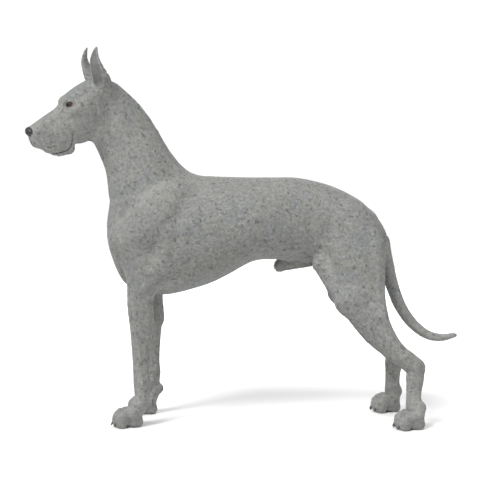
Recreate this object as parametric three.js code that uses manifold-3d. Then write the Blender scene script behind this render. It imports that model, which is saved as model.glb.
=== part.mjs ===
// A great dane, life size, standing still: head turned a little to its left, ears erect, tail low.
// Millimetres. The dog faces -X, its left side is -Y, and +Z is up. At the end the floor is put at Z = 0.
//
// The whole dog is one smooth field: ovals and chains stand for its bones and muscles, and each flows into
// the rest over its own blend width. The field is turned into closed meshes, which are thinned where they
// are flat and parted into the named pieces with thin straight cuts.
import * as THREE from "three";
import { mergeVertices } from "three/addons/utils/BufferGeometryUtils.js";
import Module from "manifold-3d";

const wasm = await Module();
wasm.setup();
const { Manifold, Mesh: SolidMesh } = wasm;

// Driving sizes
const SOLE = 9; // level of the floor, where the pads are pressed flat
const WITHERS = 854; // level of the top of the shoulders
const BACK = WITHERS - 5; // level of the middle of the back
const HEAD_YAW = 20; // degrees the head turns to the dog's left
const HEAD_PITCH = 31.5; // degrees the muzzle drops below level
const STOP = [-603, -62, 1090]; // the hollow between the eyes, from which the head is set out
const FORE_STANCE = 97; // middle plane to the middle of a front leg
const HIND_STANCE = 132; // middle plane to the middle of a hind foot
const RIGHT_FORE_BACK = 23; // how much further back the right front foot stands
const RIGHT_HIND_BACK = -44; // the right hind foot stands further forward
const EYE = { at: [-31, 38, -6], radius: 12.5, gaze: [0.72, 0.68, 0.11], opening: [11.4, 7.4] };
const CLAW = { length: 24, radius: 5.2, sides: 7, slope: 0.6 };
const DEWCLAW = { length: 18, radius: 3.8, slope: 1.1 };
const MOUTH_WIDTH = 3; // of the line between the lips
const MOUTH_DEPTH = 7;
const GAP = 0.3; // left between two pieces that meet

// Vectors
const DEGREE = Math.PI / 180;
const add = (a, b, t = 1) => [a[0] + b[0] * t, a[1] + b[1] * t, a[2] + b[2] * t];
const sub = (a, b) => add(a, b, -1);
const dot = (a, b) => a[0] * b[0] + a[1] * b[1] + a[2] * b[2];
const cross = (a, b) => [a[1] * b[2] - a[2] * b[1], a[2] * b[0] - a[0] * b[2], a[0] * b[1] - a[1] * b[0]];
const unit = (a) => add([0, 0, 0], a, 1 / Math.hypot(...a));
const mix = (a, b, t) => a + (b - a) * t;
const clamp = (x, low, high) => Math.min(high, Math.max(low, x));

// Shapes. Each has a box that holds it, the width over which it flows into the rest, and a function that
// gives the distance from a point to its surface.

const FELT = 45; // a shape is not felt further out than this
const boxRound = (points, reach) => [0, 1, 2].map((i) => [
  Math.min(...points.map((p) => p[i])) - reach,
  Math.max(...points.map((p) => p[i])) + reach,
]);

// An oval with three half-sizes; its first axis is dropped by `pitch` degrees and turned by `turn`.
function oval(centre, half, blend, pitch = 0, turn = 0) {
  const [cp, sp, ct, st] = [
    Math.cos(pitch * DEGREE), Math.sin(pitch * DEGREE), Math.cos(turn * DEGREE), Math.sin(turn * DEGREE),
  ];
  const distance = (px, py, pz) => {
    const dx = px - centre[0];
    const dy = py - centre[1];
    const dz = pz - centre[2];
    const forward = dx * ct + dy * st;
    const y = dy * ct - dx * st;
    const x = forward * cp - dz * sp;
    const z = dz * cp + forward * sp;
    const share = Math.sqrt((x / half[0]) ** 2 + (y / half[1]) ** 2 + (z / half[2]) ** 2);
    return share < 1e-6 ? -Math.min(...half) : Math.sqrt(x * x + y * y + z * z) * (1 - 1 / share);
  };
  return { distance, blend, box: boxRound([centre], Math.max(...half)) };
}

// A round-ended chain through stations [x, y, z, deep, wide]: `wide` is the half-size towards `side`, and
// `deep` the half-size square to that. The stations are joined by a smooth curve.
function chain(stations, blend, side = [0, 1, 0], steps = 3) {
  const curve = smooth(stations, stations.length > 2 ? steps : 1);
  const links = curve.slice(1).map((b, i) => {
    const a = curve[i];
    const run = sub(b, a);
    const axis = unit(run);
    const across = unit(add(side, axis, -dot(side, axis)));
    return { a, b, run, length2: dot(run, run), across };
  });
  const distance = (px, py, pz) => {
    let best = Infinity;
    for (const { a, b, run, length2, across } of links) {
      const dx = px - a[0];
      const dy = py - a[1];
      const dz = pz - a[2];
      const t = clamp((dx * run[0] + dy * run[1] + dz * run[2]) / length2, 0, 1);
      const qx = dx - run[0] * t;
      const qy = dy - run[1] * t;
      const qz = dz - run[2] * t;
      const w = qx * across[0] + qy * across[1] + qz * across[2];
      const reach2 = qx * qx + qy * qy + qz * qz;
      const deep = mix(a[3], b[3], t);
      const wide = mix(a[4], b[4], t);
      const share = Math.sqrt(Math.max(0, reach2 - w * w) / (deep * deep) + (w * w) / (wide * wide));
      best = Math.min(best, share < 1e-6 ? -Math.min(deep, wide) : Math.sqrt(reach2) * (1 - 1 / share));
    }
    return best;
  };
  const reach = Math.max(...curve.map((s) => Math.max(s[3], s[4])));
  return { distance, blend, box: boxRound(curve, reach) };
}

// The stations with more between them, on a smooth curve through them all.
function smooth(stations, steps) {
  const at = (i) => stations[clamp(i, 0, stations.length - 1)];
  const out = [];
  for (let i = 0; i < stations.length - 1; i++)
    for (let n = 0; n < steps; n++) {
      const t = n / steps;
      out.push(at(i).map((p, k) => {
        const [before, after, last] = [at(i - 1)[k], at(i + 1)[k], at(i + 2)[k]];
        return p + 0.5 * t * (after - before
          + t * (2 * before - 5 * p + 4 * after - last + t * (3 * (p - after) + last - before)));
      }));
    }
  return [...out, stations.at(-1)];
}

// A trunk of egg-shaped sections along X, from stations [x, top, bottom, widest level, half width].
function trunk(stations, blend) {
  const curve = smooth(stations, 6);
  const [first, last] = [curve[0][0], curve.at(-1)[0]];
  const distance = (px, y, z) => {
    const x = clamp(px, first, last);
    let i = 0;
    while (i < curve.length - 2 && curve[i + 1][0] < x) i++;
    const t = (x - curve[i][0]) / (curve[i + 1][0] - curve[i][0]);
    const [top, bottom, widest, half] = [1, 2, 3, 4].map((k) => mix(curve[i][k], curve[i + 1][k], t));
    const above = z > widest;
    const power = above ? 2.25 : 2.1;
    const tall = above ? top - widest : widest - bottom;
    const share = (Math.abs(y / half) ** power + Math.abs((z - widest) / tall) ** power) ** (1 / power);
    const inPlane = share < 1e-6 ? -half : Math.hypot(y, z - widest) * (1 - 1 / share);
    return px === x ? inPlane : Math.hypot(Math.max(inPlane, 0), px - x);
  };
  const widest = Math.max(...stations.map((s) => s[4]));
  const box = [[first, last], [-widest, widest], [Math.min(...stations.map((s) => s[2])), WITHERS + 10]];
  return { distance, blend, box };
}

// One shape flowing into another over a width.
function flow(a, b, width) {
  const h = clamp(0.5 + (0.5 * (a - b)) / width, 0, 1);
  return mix(a, b, h) - width * h * (1 - h);
}

const holds = (box, x, y, z) => x > box[0][0] - FELT && x < box[0][1] + FELT
  && y > box[1][0] - FELT && y < box[1][1] + FELT && z > box[2][0] - FELT && z < box[2][1] + FELT;

function allOf(shapes, x, y, z) {
  let d = FELT;
  for (const shape of shapes) {
    if (holds(shape.box, x, y, z)) d = flow(d, shape.distance(x, y, z), shape.blend);
  }
  return d;
}

// The body

const TRUNK = trunk([
  [-453, 690, 650, 668, 4],
  [-441, 752, 592, 674, 50],
  [-405, 800, 508, 665, 94],
  [-340, 838, 466, 655, 122],
  [-255, WITHERS + 3, 447, 640, 138],
  [-130, WITHERS, 477, 640, 156],
  [-50, BACK + 2, 512, 655, 160],
  [40, BACK, 561, 685, 150],
  [110, BACK, 569, 705, 134],
  [200, BACK - 2, 562, 715, 116],
  [305, 822, 556, 700, 112],
  [390, 782, 550, 680, 104],
  [438, 741, 550, 650, 84],
  [482, 684, 565, 618, 48],
  [499, 644, 602, 620, 6],
], 1);

const NECK = [
  chain([
    [-460, -10, 1095, 84, 56],
    [-424, -5, 1040, 98, 60],
    [-388, 0, 971, 101, 66],
    [-352, 0, 892, 108, 80],
    [-321, 0, 795, 127, 102],
  ], 36),
  chain([
    [-430, 0, 1094, 31, 20],
    [-343, 0, 1023, 37, 24],
    [-278, 0, 913, 41, 34],
    [-185, 0, 812, 42, 46],
  ], 40), // crest
  chain([[-419, 0, 706, 22, 70], [-393, 0, 604, 36, 66], [-366, 0, 520, 36, 60]], 30), // breast muscles
];

const TAIL = [
  [428, 0, 702, 38, 38],
  [474, 0, 633, 33, 30],
  [497, 0, 567, 27, 26],
  [513, 0, 508, 24, 24],
  [529, 0, 458, 22.5, 22],
  [552, 0, 404, 21, 20.5],
  [589, 0, 350, 19, 18],
  [640, 0, 309, 16.5, 16],
  [690, 0, 297, 13.5, 13],
  [733, 0, 304, 10, 9.5],
];

const SHEATH = chain([[134, 0, 546, 21, 17], [190, 0, 557, 23, 18], [250, 0, 572, 28, 22]], 14);

function foreleg(side, back) {
  const at = (x, y, z, ...half) => [x + back, side * (FORE_STANCE + y), z, ...half];
  const shoulder = (x, y, z, ...half) => [x, side * (FORE_STANCE + y), z, ...half];
  return [
    chain([shoulder(-205, 0, 790, 52, 22), shoulder(-280, 18, 715, 66, 34), shoulder(-365, 14, 640, 52, 36)], 44),
    chain([shoulder(-385, -8, 640, 56, 42), shoulder(-340, 6, 570, 56, 42), at(-318, 4, 505, 46, 38)], 36),
    chain([shoulder(-205, 20, 670, 44, 28), shoulder(-235, 14, 580, 50, 34), at(-294, 4, 514, 30, 28)], 34),
    chain([
      at(-332, 0, 520, 48, 38),
      at(-339, 0, 430, 42, 37),
      at(-333, 0, 360, 41, 33),
      at(-334, 0, 290, 34, 27),
      at(-334, 0, 205, 29, 24),
      at(-332, 0, 160, 30, 27),
      at(-332, 1, 130, 27, 26),
      at(-334, 2, 100, 25, 25),
      at(-345, 2, 74, 27, 29),
    ], 26),
    chain([at(-319, 0, 470, 22, 22), at(-315, 0, 410, 17, 18), at(-308, 0, 350, 15, 17)], 22), // elbow
    oval(at(-303, 0, 99), [11, 11, 15], 18), // pad behind the wrist
    chain([at(-333, -24, 132, 10, 8), at(-345, -31, 112, 8, 7)], 8), // toe of the dewclaw
  ];
}

function hindleg(side, back) {
  const at = (share, x, y, z, ...half) => [x + back * share, side * (HIND_STANCE + y), z, ...half];
  return [
    chain([
      at(0, 382, -64, 697, 66, 46),
      at(0, 390, -42, 610, 92, 50),
      at(0.1, 390, -28, 520, 80, 50),
      at(0.2, 374, -12, 447, 54, 42),
    ], 44),
    chain([
      at(0, 432, -52, 620, 46, 42),
      at(0.1, 444, -38, 520, 42, 40),
      at(0.3, 460, -18, 425, 33, 28),
      at(0.5, 494, -6, 345, 19, 17),
      at(0.8, 545, 0, 268, 12, 12),
      at(1, 601, 0, 224, 15, 15),
    ], 30),
    chain([
      at(0.2, 366, -6, 443, 44, 36),
      at(0.5, 438, -3, 360, 42, 33),
      at(0.8, 503, 0, 285, 34, 26),
      at(1, 580, 0, 222, 31, 23),
      at(1, 588, 1, 185, 32, 22),
      at(1, 585, 2, 140, 27, 20),
      at(1, 584, 3, 85, 26, 24),
    ], 28),
    chain([at(0, 268, -44, 562, 26, 16), at(0, 314, -24, 494, 28, 20)], 36), // fold of the flank
  ];
}

// A foot is set out from the back edge of its heel pad, at floor level, with the toes towards -X.
const FEET = {
  fore_left: [-326, -FORE_STANCE - 3],
  fore_right: [-312 + RIGHT_FORE_BACK, FORE_STANCE + 3],
  hind_left: [627, -HIND_STANCE - 3],
  hind_right: [617 + RIGHT_HIND_BACK, HIND_STANCE + 3],
};
const TOES = [
  { y: -33, ahead: -13 },
  { y: -12, ahead: 0 },
  { y: 12, ahead: 0 },
  { y: 33, ahead: -13 },
];
function foot([fx, fy]) {
  const at = (x, y, z, ...half) => [fx + x, fy + y, z, ...half];
  return [
    ...TOES.map(({ y, ahead }) => chain([
      at(-30, y * 0.6, 52, 17, 15),
      at(-77 - ahead, y * 0.95, 51, 20, 13.5),
      at(-90 - ahead, y, 33, 18, 13),
      at(-85 - ahead, y, 19, 16, 12.5),
    ], 6, [0, 1, 0], 2)),
    chain([at(-20, 0, 80, 20, 26), at(-34, 0, 50, 24, 30)], 20),
    chain([at(-44, 0, 34, 22, 30), at(-66, 0, 30, 18, 30)], 12), // web between the toes
    oval(at(-30, 0, 24), [27, 28, 20], 18), // heel pad
  ];
}

const BODY = [
  TRUNK,
  ...NECK,
  chain(TAIL, 22),
  SHEATH,
  ...foreleg(-1, 0),
  ...foreleg(1, RIGHT_FORE_BACK),
  ...hindleg(-1, 0),
  ...hindleg(1, RIGHT_HIND_BACK),
  ...Object.values(FEET).flatMap((place) => foot(place)),
];

// The head, in its own frame: +x to the nose, +y to its left, +z up, zero at the stop. Its field is mirrored,
// so every shape below lies on the left.

const [CY, SY] = [Math.cos(HEAD_YAW * DEGREE), Math.sin(HEAD_YAW * DEGREE)];
const [CP, SP] = [Math.cos(HEAD_PITCH * DEGREE), Math.sin(HEAD_PITCH * DEGREE)];
const HEAD_AXES = [[-CP * CY, -CP * SY, -SP], [SY, -CY, 0], [-SP * CY, -SP * SY, CP]];
const fromHead = (q) => HEAD_AXES.reduce((p, axis, i) => add(p, axis, q[i]), STOP);

const EAR_OPENS = unit([0.68, 0.72, 0.1]);
const EAR_SIDE = unit(cross([0, 0, 1], EAR_OPENS));
const EAR = [
  [-150, 52, -20, 24, 34],
  [-157, 61, 12, 19, 32],
  [-161, 69, 44, 13, 26],
  [-169, 70, 76, 9, 20],
  [-184, 67, 97, 6.5, 13],
  [-197, 66, 108, 4, 6],
];
const EAR_CUP = [
  [-139, 67, 6, 13, 19],
  [-150, 74, 42, 9.5, 19],
  [-161, 75, 73, 6.5, 14.5],
  [-178, 71, 94, 3.5, 8.5],
  [-188, 69, 103, 1.5, 3.5],
];

const SKULL = [
  chain([[-118, 0, -32, 52, 58], [-80, 0, -29, 56, 62], [-36, 0, -28, 50, 52]], 20), // brain case
  chain([[-29, 15, 3, 16, 20], [-64, 16, 4, 18, 26], [-112, 12, 4, 20, 28]], 16), // forehead and its furrow
  oval([-27, 30, 7], [18, 15, 11], 12), // brow
  chain([[-20, 55, -36, 14, 9], [-56, 62, -36, 20, 10], [-98, 62, -36, 26, 12]], 20), // cheek bone
  oval([-82, 52, -66], [42, 18, 40], 26), // cheek muscle
  chain([[-16, 0, -30, 32, 42], [40, 0, -30, 29, 37], [116, 0, -33, 28, 34]], 18), // upper jaw
  chain([[0, 0, -13, 13, 23], [60, 0, -14, 14, 20], [122, 0, -17, 14, 18]], 12), // bridge of the nose
  chain([[118, 24, -56, 30, 12], [84, 34, -76, 38, 12], [34, 40, -80, 40, 12]], 16), // hanging upper lip
  chain([[107, 12, -57, 22, 22], [95, 16, -95, 27, 24]], 12), // front of the lip
  chain([[88, 32, -121, 17, 10], [54, 34, -130, 20, 10]], 14), // corner of the lip
  chain([[104, 0, -98, 16, 22], [40, 0, -104, 24, 28], [-50, 0, -104, 26, 38]], 14), // lower jaw
  chain([[30, 28, -84, 44, 16], [-20, 42, -78, 42, 18], [-60, 46, -72, 40, 20]], 20), // back of the jaw
  chain([[-18, 0, -109, 38, 34], [-60, 0, -98, 54, 46], [-110, 0, -69, 66, 50]], 28), // throat
  chain(EAR, 12, EAR_SIDE),
];

const NOSE = [
  oval([131, 0, -16], [15, 22, 16], 3),
  oval([130, 14, -21], [14, 12, 13], 5), // wing of the nostril
];
const NOSTRIL = [
  oval([145, 11, -17], [10, 5.5, 6], 2),
  chain([[142, 14, -22, 3, 3], [134, 27, -27, 3, 3]], 4),
];
const PHILTRUM = chain([[147, 0, -26, 2.6, 2.6], [143, 0, -80, 2.6, 2.6]], 1);
const CUP = chain(EAR_CUP, 2, EAR_SIDE);

// The line between the lips, from under the nose to the corner of the mouth, as [x, z].
const MOUTH = smooth([
  [16, -86],
  [28, -103],
  [44, -123],
  [64, -130],
  [96, -121],
  [122, -107],
  [140, -92],
  [156, -86],
], 4);
function mouthLevel(x) {
  const i = clamp(MOUTH.findIndex((p) => p[0] > x), 1, MOUTH.length - 1);
  const [a, b] = [MOUTH[i - 1], MOUTH[i]];
  return mix(a[1], b[1], clamp((x - a[0]) / (b[0] - a[0]), 0, 1));
}

const GAZE = unit(EYE.gaze);
const EYE_ACROSS = unit(cross([0, 0, 1], GAZE));
const EYE_UP = cross(GAZE, EYE_ACROSS);
const eyeball = (x, y, z) => Math.hypot(x - EYE.at[0], y - EYE.at[1], z - EYE.at[2]) - EYE.radius;
function eyeOpening(x, y, z) {
  const d = sub([x, y, z], add(EYE.at, GAZE, EYE.radius));
  const [half, tall] = EYE.opening;
  return (Math.hypot(dot(d, EYE_ACROSS) / half, dot(d, EYE_UP) / tall, dot(d, GAZE) / 9) - 1) * tall;
}

const inHead = (x, y, z) => HEAD_AXES.map((a) => a[0] * (x - STOP[0]) + a[1] * (y - STOP[1]) + a[2] * (z - STOP[2]));
function headField(wx, wy, wz) {
  const [x, side, z] = inHead(wx, wy, wz);
  const y = Math.abs(side);
  if (x < -290 || x > 190 || y > 150 || z > 160 || z < -230) return FELT;
  return flow(allOf(SKULL, x, y, z), allOf(NOSE, x, y, z), 3);
}

// What the head loses: the line of the mouth, the nostrils, the eye's opening, the cup of the ear.
function headHollows(wx, wy, wz, skin) {
  const [x, side, z] = inHead(wx, wy, wz);
  const y = Math.abs(side);
  if (x < -230 || x > 190 || y > 120) return skin;
  const mouth = Math.max(Math.abs(z - mouthLevel(x)) - MOUTH_WIDTH / 2, 20 - x, -MOUTH_DEPTH - skin);
  return Math.max(
    skin,
    -mouth,
    -allOf(NOSTRIL, x, y, z),
    -PHILTRUM.distance(x, y, z),
    -CUP.distance(x, y, z),
    -eyeOpening(x, y, z),
  );
}
function lids(wx, wy, wz) {
  const [x, side, z] = inHead(wx, wy, wz);
  return eyeball(x, Math.abs(side), z) - 3;
}

function dog(x, y, z) {
  const skin = allOf(BODY, x, y, z);
  if (x > -350 || z < 850) return skin;
  return headHollows(x, y, z, flow(flow(skin, headField(x, y, z), 30), lids(x, y, z), 5));
}

// Where a square of the grid is inside at two opposite corners only, a third corner is filled, so that
// no two sheets of the surface share an edge.
function fillCrossings(value, steps) {
  for (let changed = true; changed;) {
    changed = false;
    for (let n = 0; n < value.length - steps[1] - steps[2]; n++)
      for (const [u, v] of [[steps[0], steps[1]], [steps[1], steps[2]], [steps[2], steps[0]]]) {
        const [a, b, c, d] = [value[n] < 0, value[n + u] < 0, value[n + v] < 0, value[n + u + v] < 0];
        if (a !== d || b !== c || a === b) continue;
        value[a ? n + u : n] = -0.01;
        changed = true;
      }
  }
}

// Surface nets: one point in each cell of a grid that the surface crosses, then moved on to the surface.
function meshOf(field, box, step) {
  const [nx, ny, nz] = box.map(([low, high]) => Math.ceil((high - low) / step) + 1);
  const place = (i, j, k) => [box[0][0] + i * step, box[1][0] + j * step, box[2][0] + k * step];
  const id = (i, j, k) => i + nx * (j + ny * k);
  const value = new Float32Array(nx * ny * nz);
  for (let k = 0; k < nz; k++)
    for (let j = 0; j < ny; j++)
      for (let i = 0; i < nx; i++) {
        const rim = !i || !j || !k || i === nx - 1 || j === ny - 1 || k === nz - 1;
        const d = field(...place(i, j, k));
        value[id(i, j, k)] = rim ? Math.max(0.01, d) : d;
      }
  const [dx, dy, dz] = [id(1, 0, 0), id(0, 1, 0), id(0, 0, 1)];
  fillCrossings(value, [dx, dy, dz]);
  const corners = [0, 1, 2, 3, 4, 5, 6, 7].map((n) => [n & 1, (n >> 1) & 1, n >> 2]);
  const edges = corners.flatMap((p, a) => corners.map((q, b) => [a, b, sub(q, p)]))
    .filter(([, , run]) => Math.min(...run) === 0 && run[0] + run[1] + run[2] === 1);
  const points = [];
  const cell = new Int32Array(nx * ny * nz).fill(-1);
  const offset = corners.map(([a, b, c]) => id(a, b, c));
  for (let k = 0; k < nz - 1; k++)
    for (let j = 0; j < ny - 1; j++)
      for (let i = 0; i < nx - 1; i++) {
        const here = id(i, j, k);
        let inside = 0;
        for (const o of offset) inside += value[here + o] < 0 ? 1 : 0;
        if (inside === 0 || inside === 8) continue;
        let sum = [0, 0, 0];
        let n = 0;
        for (const [a, b, run] of edges) {
          const [va, vb] = [value[here + offset[a]], value[here + offset[b]]];
          if (va < 0 === vb < 0) continue;
          sum = add(sum, add(corners[a], run, va / (va - vb)));
          n++;
        }
        cell[here] = points.length;
        points.push(place(i + sum[0] / n, j + sum[1] / n, k + sum[2] / n));
      }
  const faces = [];
  for (let k = 0; k < nz - 1; k++)
    for (let j = 0; j < ny - 1; j++)
      for (let i = 0; i < nx - 1; i++) {
        const here = id(i, j, k);
        const inside = value[here] < 0;
        for (const [next, u, v] of [[dx, dy, dz], [dy, dz, dx], [dz, dx, dy]]) {
          if (inside === value[here + next] < 0) continue;
          const [a, b, c, d] = [cell[here - u - v], cell[here - v], cell[here], cell[here - u]];
          faces.push(...(inside ? [[a, b, c], [a, c, d]] : [[a, c, b], [a, d, c]]));
        }
      }
  return { points, faces };
}

// Points are moved straight towards the surface, never more than `most` in all.
function settle(points, field, most) {
  const h = 0.5;
  return points.map((p) => {
    const d = field(...p);
    const slope = [0, 1, 2].map((i) => {
      const q = [...p];
      q[i] += h;
      return (field(...q) - d) / h;
    });
    const steep = dot(slope, slope);
    return add(p, slope, steep < 0.2 ? 0 : -clamp(d, -most, most) / Math.max(steep, 0.8));
  });
}

// A closed mesh thinned to `count` faces. Edges are drawn together into one point, the ones that change the
// shape least going first and none above `most`; one is left alone if that would fold or pinch the surface.
function thin({ points, faces }, count, most = 1e7) {
  const at = points.map((p) => [...p]);
  const tri = faces.map((f) => [...f]);
  const round = at.map(() => new Set());
  const spread = at.map(() => new Float64Array(10));
  tri.forEach((f, n) => {
    const normal = cross(sub(at[f[1]], at[f[0]]), sub(at[f[2]], at[f[0]]));
    const area = Math.hypot(...normal);
    if (area < 1e-9) return f.forEach((v) => round[v].add(n));
    const [x, y, z] = unit(normal);
    const w = -dot([x, y, z], at[f[0]]);
    const terms = [x * x, x * y, x * z, x * w, y * y, y * z, y * w, z * z, z * w, w * w];
    for (const v of f) {
      round[v].add(n);
      terms.forEach((term, i) => (spread[v][i] += term * area));
    }
  });
  const loss = (q, [x, y, z]) => q[0] * x * x + q[4] * y * y + q[7] * z * z + q[9]
    + 2 * (q[1] * x * y + q[2] * x * z + q[3] * x + q[5] * y * z + q[6] * y + q[8] * z);
  const beside = (v) => new Set([...round[v]].flatMap((n) => tri[n]));
  const folds = (v, gone, to) => [...round[v]].some((n) => {
    if (tri[n].includes(gone)) return false;
    const corners = tri[n].map((u) => at[u]);
    const moved = tri[n].map((u) => (u === v ? to : at[u]));
    const before = cross(sub(corners[1], corners[0]), sub(corners[2], corners[0]));
    const after = cross(sub(moved[1], moved[0]), sub(moved[2], moved[0]));
    return dot(before, after) < 0.3 * Math.hypot(...before) * Math.hypot(...after) || dot(after, after) < 1e-4;
  });
  let left = tri.length;

  function draw(a, b, limit) {
    const q = spread[a].map((term, i) => term + spread[b][i]);
    const length2 = dot(sub(at[a], at[b]), sub(at[a], at[b]));
    let [best, to] = [Infinity, null];
    for (const t of [0.5, 0, 1]) {
      const p = add(at[a], sub(at[b], at[a]), t);
      const l = loss(q, p);
      if (l < best) [best, to] = [l, p];
    }
    if (best + 0.002 * length2 > limit) return false;
    const near = beside(b);
    if ([...beside(a)].filter((v) => near.has(v)).length !== 4) return false;
    if (folds(a, b, to) || folds(b, a, to)) return false;
    at[a] = to;
    spread[a] = q;
    for (const n of round[b]) {
      if (tri[n].includes(a)) {
        tri[n].forEach((v) => v !== b && round[v].delete(n));
        tri[n] = null;
        left--;
      } else {
        tri[n] = tri[n].map((v) => (v === b ? a : v));
        round[a].add(n);
      }
    }
    round[b].clear();
    return true;
  }

  for (let limit = Math.min(0.05, most); left > count && limit <= most; limit *= 1.5)
    for (let n = 0; n < tri.length && left > count; n++)
      for (let i = 0; i < 3 && tri[n]; i++) {
        const [a, b] = [tri[n][i], tri[n][(i + 1) % 3]];
        if (a < b) draw(a, b, limit);
      }
  const kept = tri.filter(Boolean);
  const used = [...new Set(kept.flat())];
  const name = new Map(used.map((v, i) => [v, i]));
  return { points: used.map((v) => at[v]), faces: kept.map((f) => f.map((v) => name.get(v))) };
}

const solidOf = ({ points, faces }) => new Manifold(new SolidMesh({
  numProp: 3, vertProperties: new Float32Array(points.flat()), triVerts: new Uint32Array(faces.flat()),
}));

function meshFrom(solid) {
  const { vertProperties, triVerts } = solid.getMesh();
  const three = (list) => Array.from({ length: list.length / 3 }, (_, i) => [...list.slice(3 * i, 3 * i + 3)]);
  return { points: three(vertProperties), faces: three(triVerts) };
}

// A part of the field as a closed solid of about `count` faces.
function carve(field, box, step, count) {
  const mesh = meshOf(field, box, step);
  mesh.points = settle(mesh.points, field, step / 2);
  const light = thin(mesh, count);
  light.points = settle(light.points, field, 1);
  return solidOf(light);
}

// A three.js shape as a solid.
function solidFrom(geometry) {
  const bare = new THREE.BufferGeometry();
  bare.setAttribute("position", geometry.attributes.position);
  if (geometry.index) bare.setIndex(geometry.index);
  const merged = mergeVertices(bare, 1e-3);
  const faces = [];
  for (let i = 0; i < merged.index.count; i += 3) {
    const f = [0, 1, 2].map((n) => merged.index.getX(i + n));
    if (new Set(f).size === 3) faces.push(f);
  }
  const { array } = merged.attributes.position;
  const points = Array.from({ length: array.length / 3 }, (_, i) => [...array.slice(3 * i, 3 * i + 3)]);
  return solidOf({ points, faces });
}

// The solid without any hollow that is sealed inside it.
const sound = (solid) => solid.decompose().sort((a, b) => b.volume() - a.volume())[0];

// Thin straight cuts. `at` is a point of the cut, `ahead` points to the side that is kept.
const keep = (solid, at, ahead) => solid.trimByPlane(unit(ahead), dot(unit(ahead), at) + GAP / 2);
const part = (solid, at, ahead) => [keep(solid, at, ahead), keep(solid, at, sub([0, 0, 0], ahead))];

// A block from a side outline of [x, z] points, between two values of y.
function block(outline, y0, y1) {
  const shape = new THREE.Shape(outline.map(([x, z]) => new THREE.Vector2(x, z)));
  const geometry = new THREE.ExtrudeGeometry(shape, { depth: y1 - y0, bevelEnabled: false });
  geometry.rotateX(Math.PI / 2);
  geometry.translate(0, y1, 0);
  return solidFrom(geometry);
}

// The pieces

const nodes = {};

// Head, parted from the neck behind the jaw, with its ears, nose and eyes as pieces of their own.
const NECK_CUT = { at: [-448, 0, 1052], ahead: [-0.894, 0, 0.447] };
const headWhole = keep(carve(dog, [[-740, -375], [-190, 115], [880, 1310]], 3.2, 3500), NECK_CUT.at, NECK_CUT.ahead);
const headTurn = new THREE.Matrix4().makeBasis(...HEAD_AXES.map((axis) => new THREE.Vector3(...axis)));
headTurn.setPosition(...STOP);

// A block in the head's own frame. Its sideways axis makes that frame left-handed, so y is turned over.
function headBlock(outline, y0, y1) {
  const turned = headTurn.clone().multiply(new THREE.Matrix4().makeScale(1, -1, 1));
  return block(outline, -y1, -y0).transform(turned.elements);
}
const NOSE_SIDE = [[121, 30], [170, 30], [170, -37], [121, -37]];
const EAR_SIDES = [[-240, 32], [-238, 150], [-100, 150], [-112, 26]];
const wider = (outline, by) => {
  const middle = [0, 1].map((k) => outline.reduce((sum, p) => sum + p[k], 0) / outline.length);
  return outline.map((p) => p.map((v, k) => v + Math.sign(v - middle[k]) * by));
};
nodes.nose = headWhole.intersect(headBlock(NOSE_SIDE, -60, 60));
nodes.ear_left = headWhole.intersect(headBlock(EAR_SIDES, 28, 120));
nodes.ear_right = headWhole.intersect(headBlock(EAR_SIDES, -120, -28));
const ball = (radius) => new THREE.SphereGeometry(radius, 16, 12);
const eyeSeat = (side, radius) => {
  const middle = fromHead([EYE.at[0], EYE.at[1] * side, EYE.at[2]]);
  return solidFrom(ball(radius).translate(...middle));
};
nodes.eye_left = eyeSeat(1, EYE.radius);
nodes.eye_right = eyeSeat(-1, EYE.radius);
nodes.head = sound(headWhole)
  .subtract(headBlock(wider(NOSE_SIDE, GAP), -60, 60))
  .subtract(headBlock(wider(EAR_SIDES, GAP), 28 - GAP, 120))
  .subtract(headBlock(wider(EAR_SIDES, GAP), -120, GAP - 28))
  .subtract(eyeSeat(1, EYE.radius + GAP + 0.2))
  .subtract(eyeSeat(-1, EYE.radius + GAP + 0.2));

// Neck, torso, sheath and thighs
const LEG_CUT = 436; // the front legs leave the body just under the brisket
const KNEE_CUT = { at: [415, 0, 410], ahead: [-0.26, 0, -0.966] };
const TAIL_CUT = { at: [500, 0, 552], ahead: [0.2, 0, -0.98] };
const CHEST_CUT = { at: [-315, 0, 807], ahead: [-0.396, 0, 0.918] };
const bodyField = (x, y, z) => Math.max(dog(x, y, z), 366 - z);
const THIGH_SIDE = [[214, 340], [256, 572], [330, 690], [420, 712], [560, 690], [640, 340]];
let body = carve(bodyField, [[-560, 640], [-185, 185], [356, 1250]], 8, 3500);
const neckAndHead = keep(body, CHEST_CUT.at, CHEST_CUT.ahead);
nodes.neck = keep(neckAndHead, NECK_CUT.at, sub([0, 0, 0], NECK_CUT.ahead));
body = keep(body, CHEST_CUT.at, sub([0, 0, 0], CHEST_CUT.ahead));
for (const [name, y0, y1] of [["left", -200, -36], ["right", 36, 200]]) {
  const thigh = body.intersect(block(THIGH_SIDE, y0, y1));
  nodes[`thigh_${name}`] = keep(thigh, KNEE_CUT.at, sub([0, 0, 0], KNEE_CUT.ahead));
  body = body.subtract(block(wider(THIGH_SIDE, GAP), y0 < 0 ? y0 : y0 - GAP, y0 < 0 ? y1 + GAP : y1));
}
const SHEATH_SIDE = [[100, 500], [100, 553], [250, 553], [250, 500]];
nodes.sheath = body.intersect(block(SHEATH_SIDE, -60, 60));
body = body.subtract(block(wider(SHEATH_SIDE, GAP), -60, 60));
body = keep(body, [0, 0, LEG_CUT], [0, 0, 1]);
nodes.torso = keep(body, TAIL_CUT.at, sub([0, 0, 0], TAIL_CUT.ahead));

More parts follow.
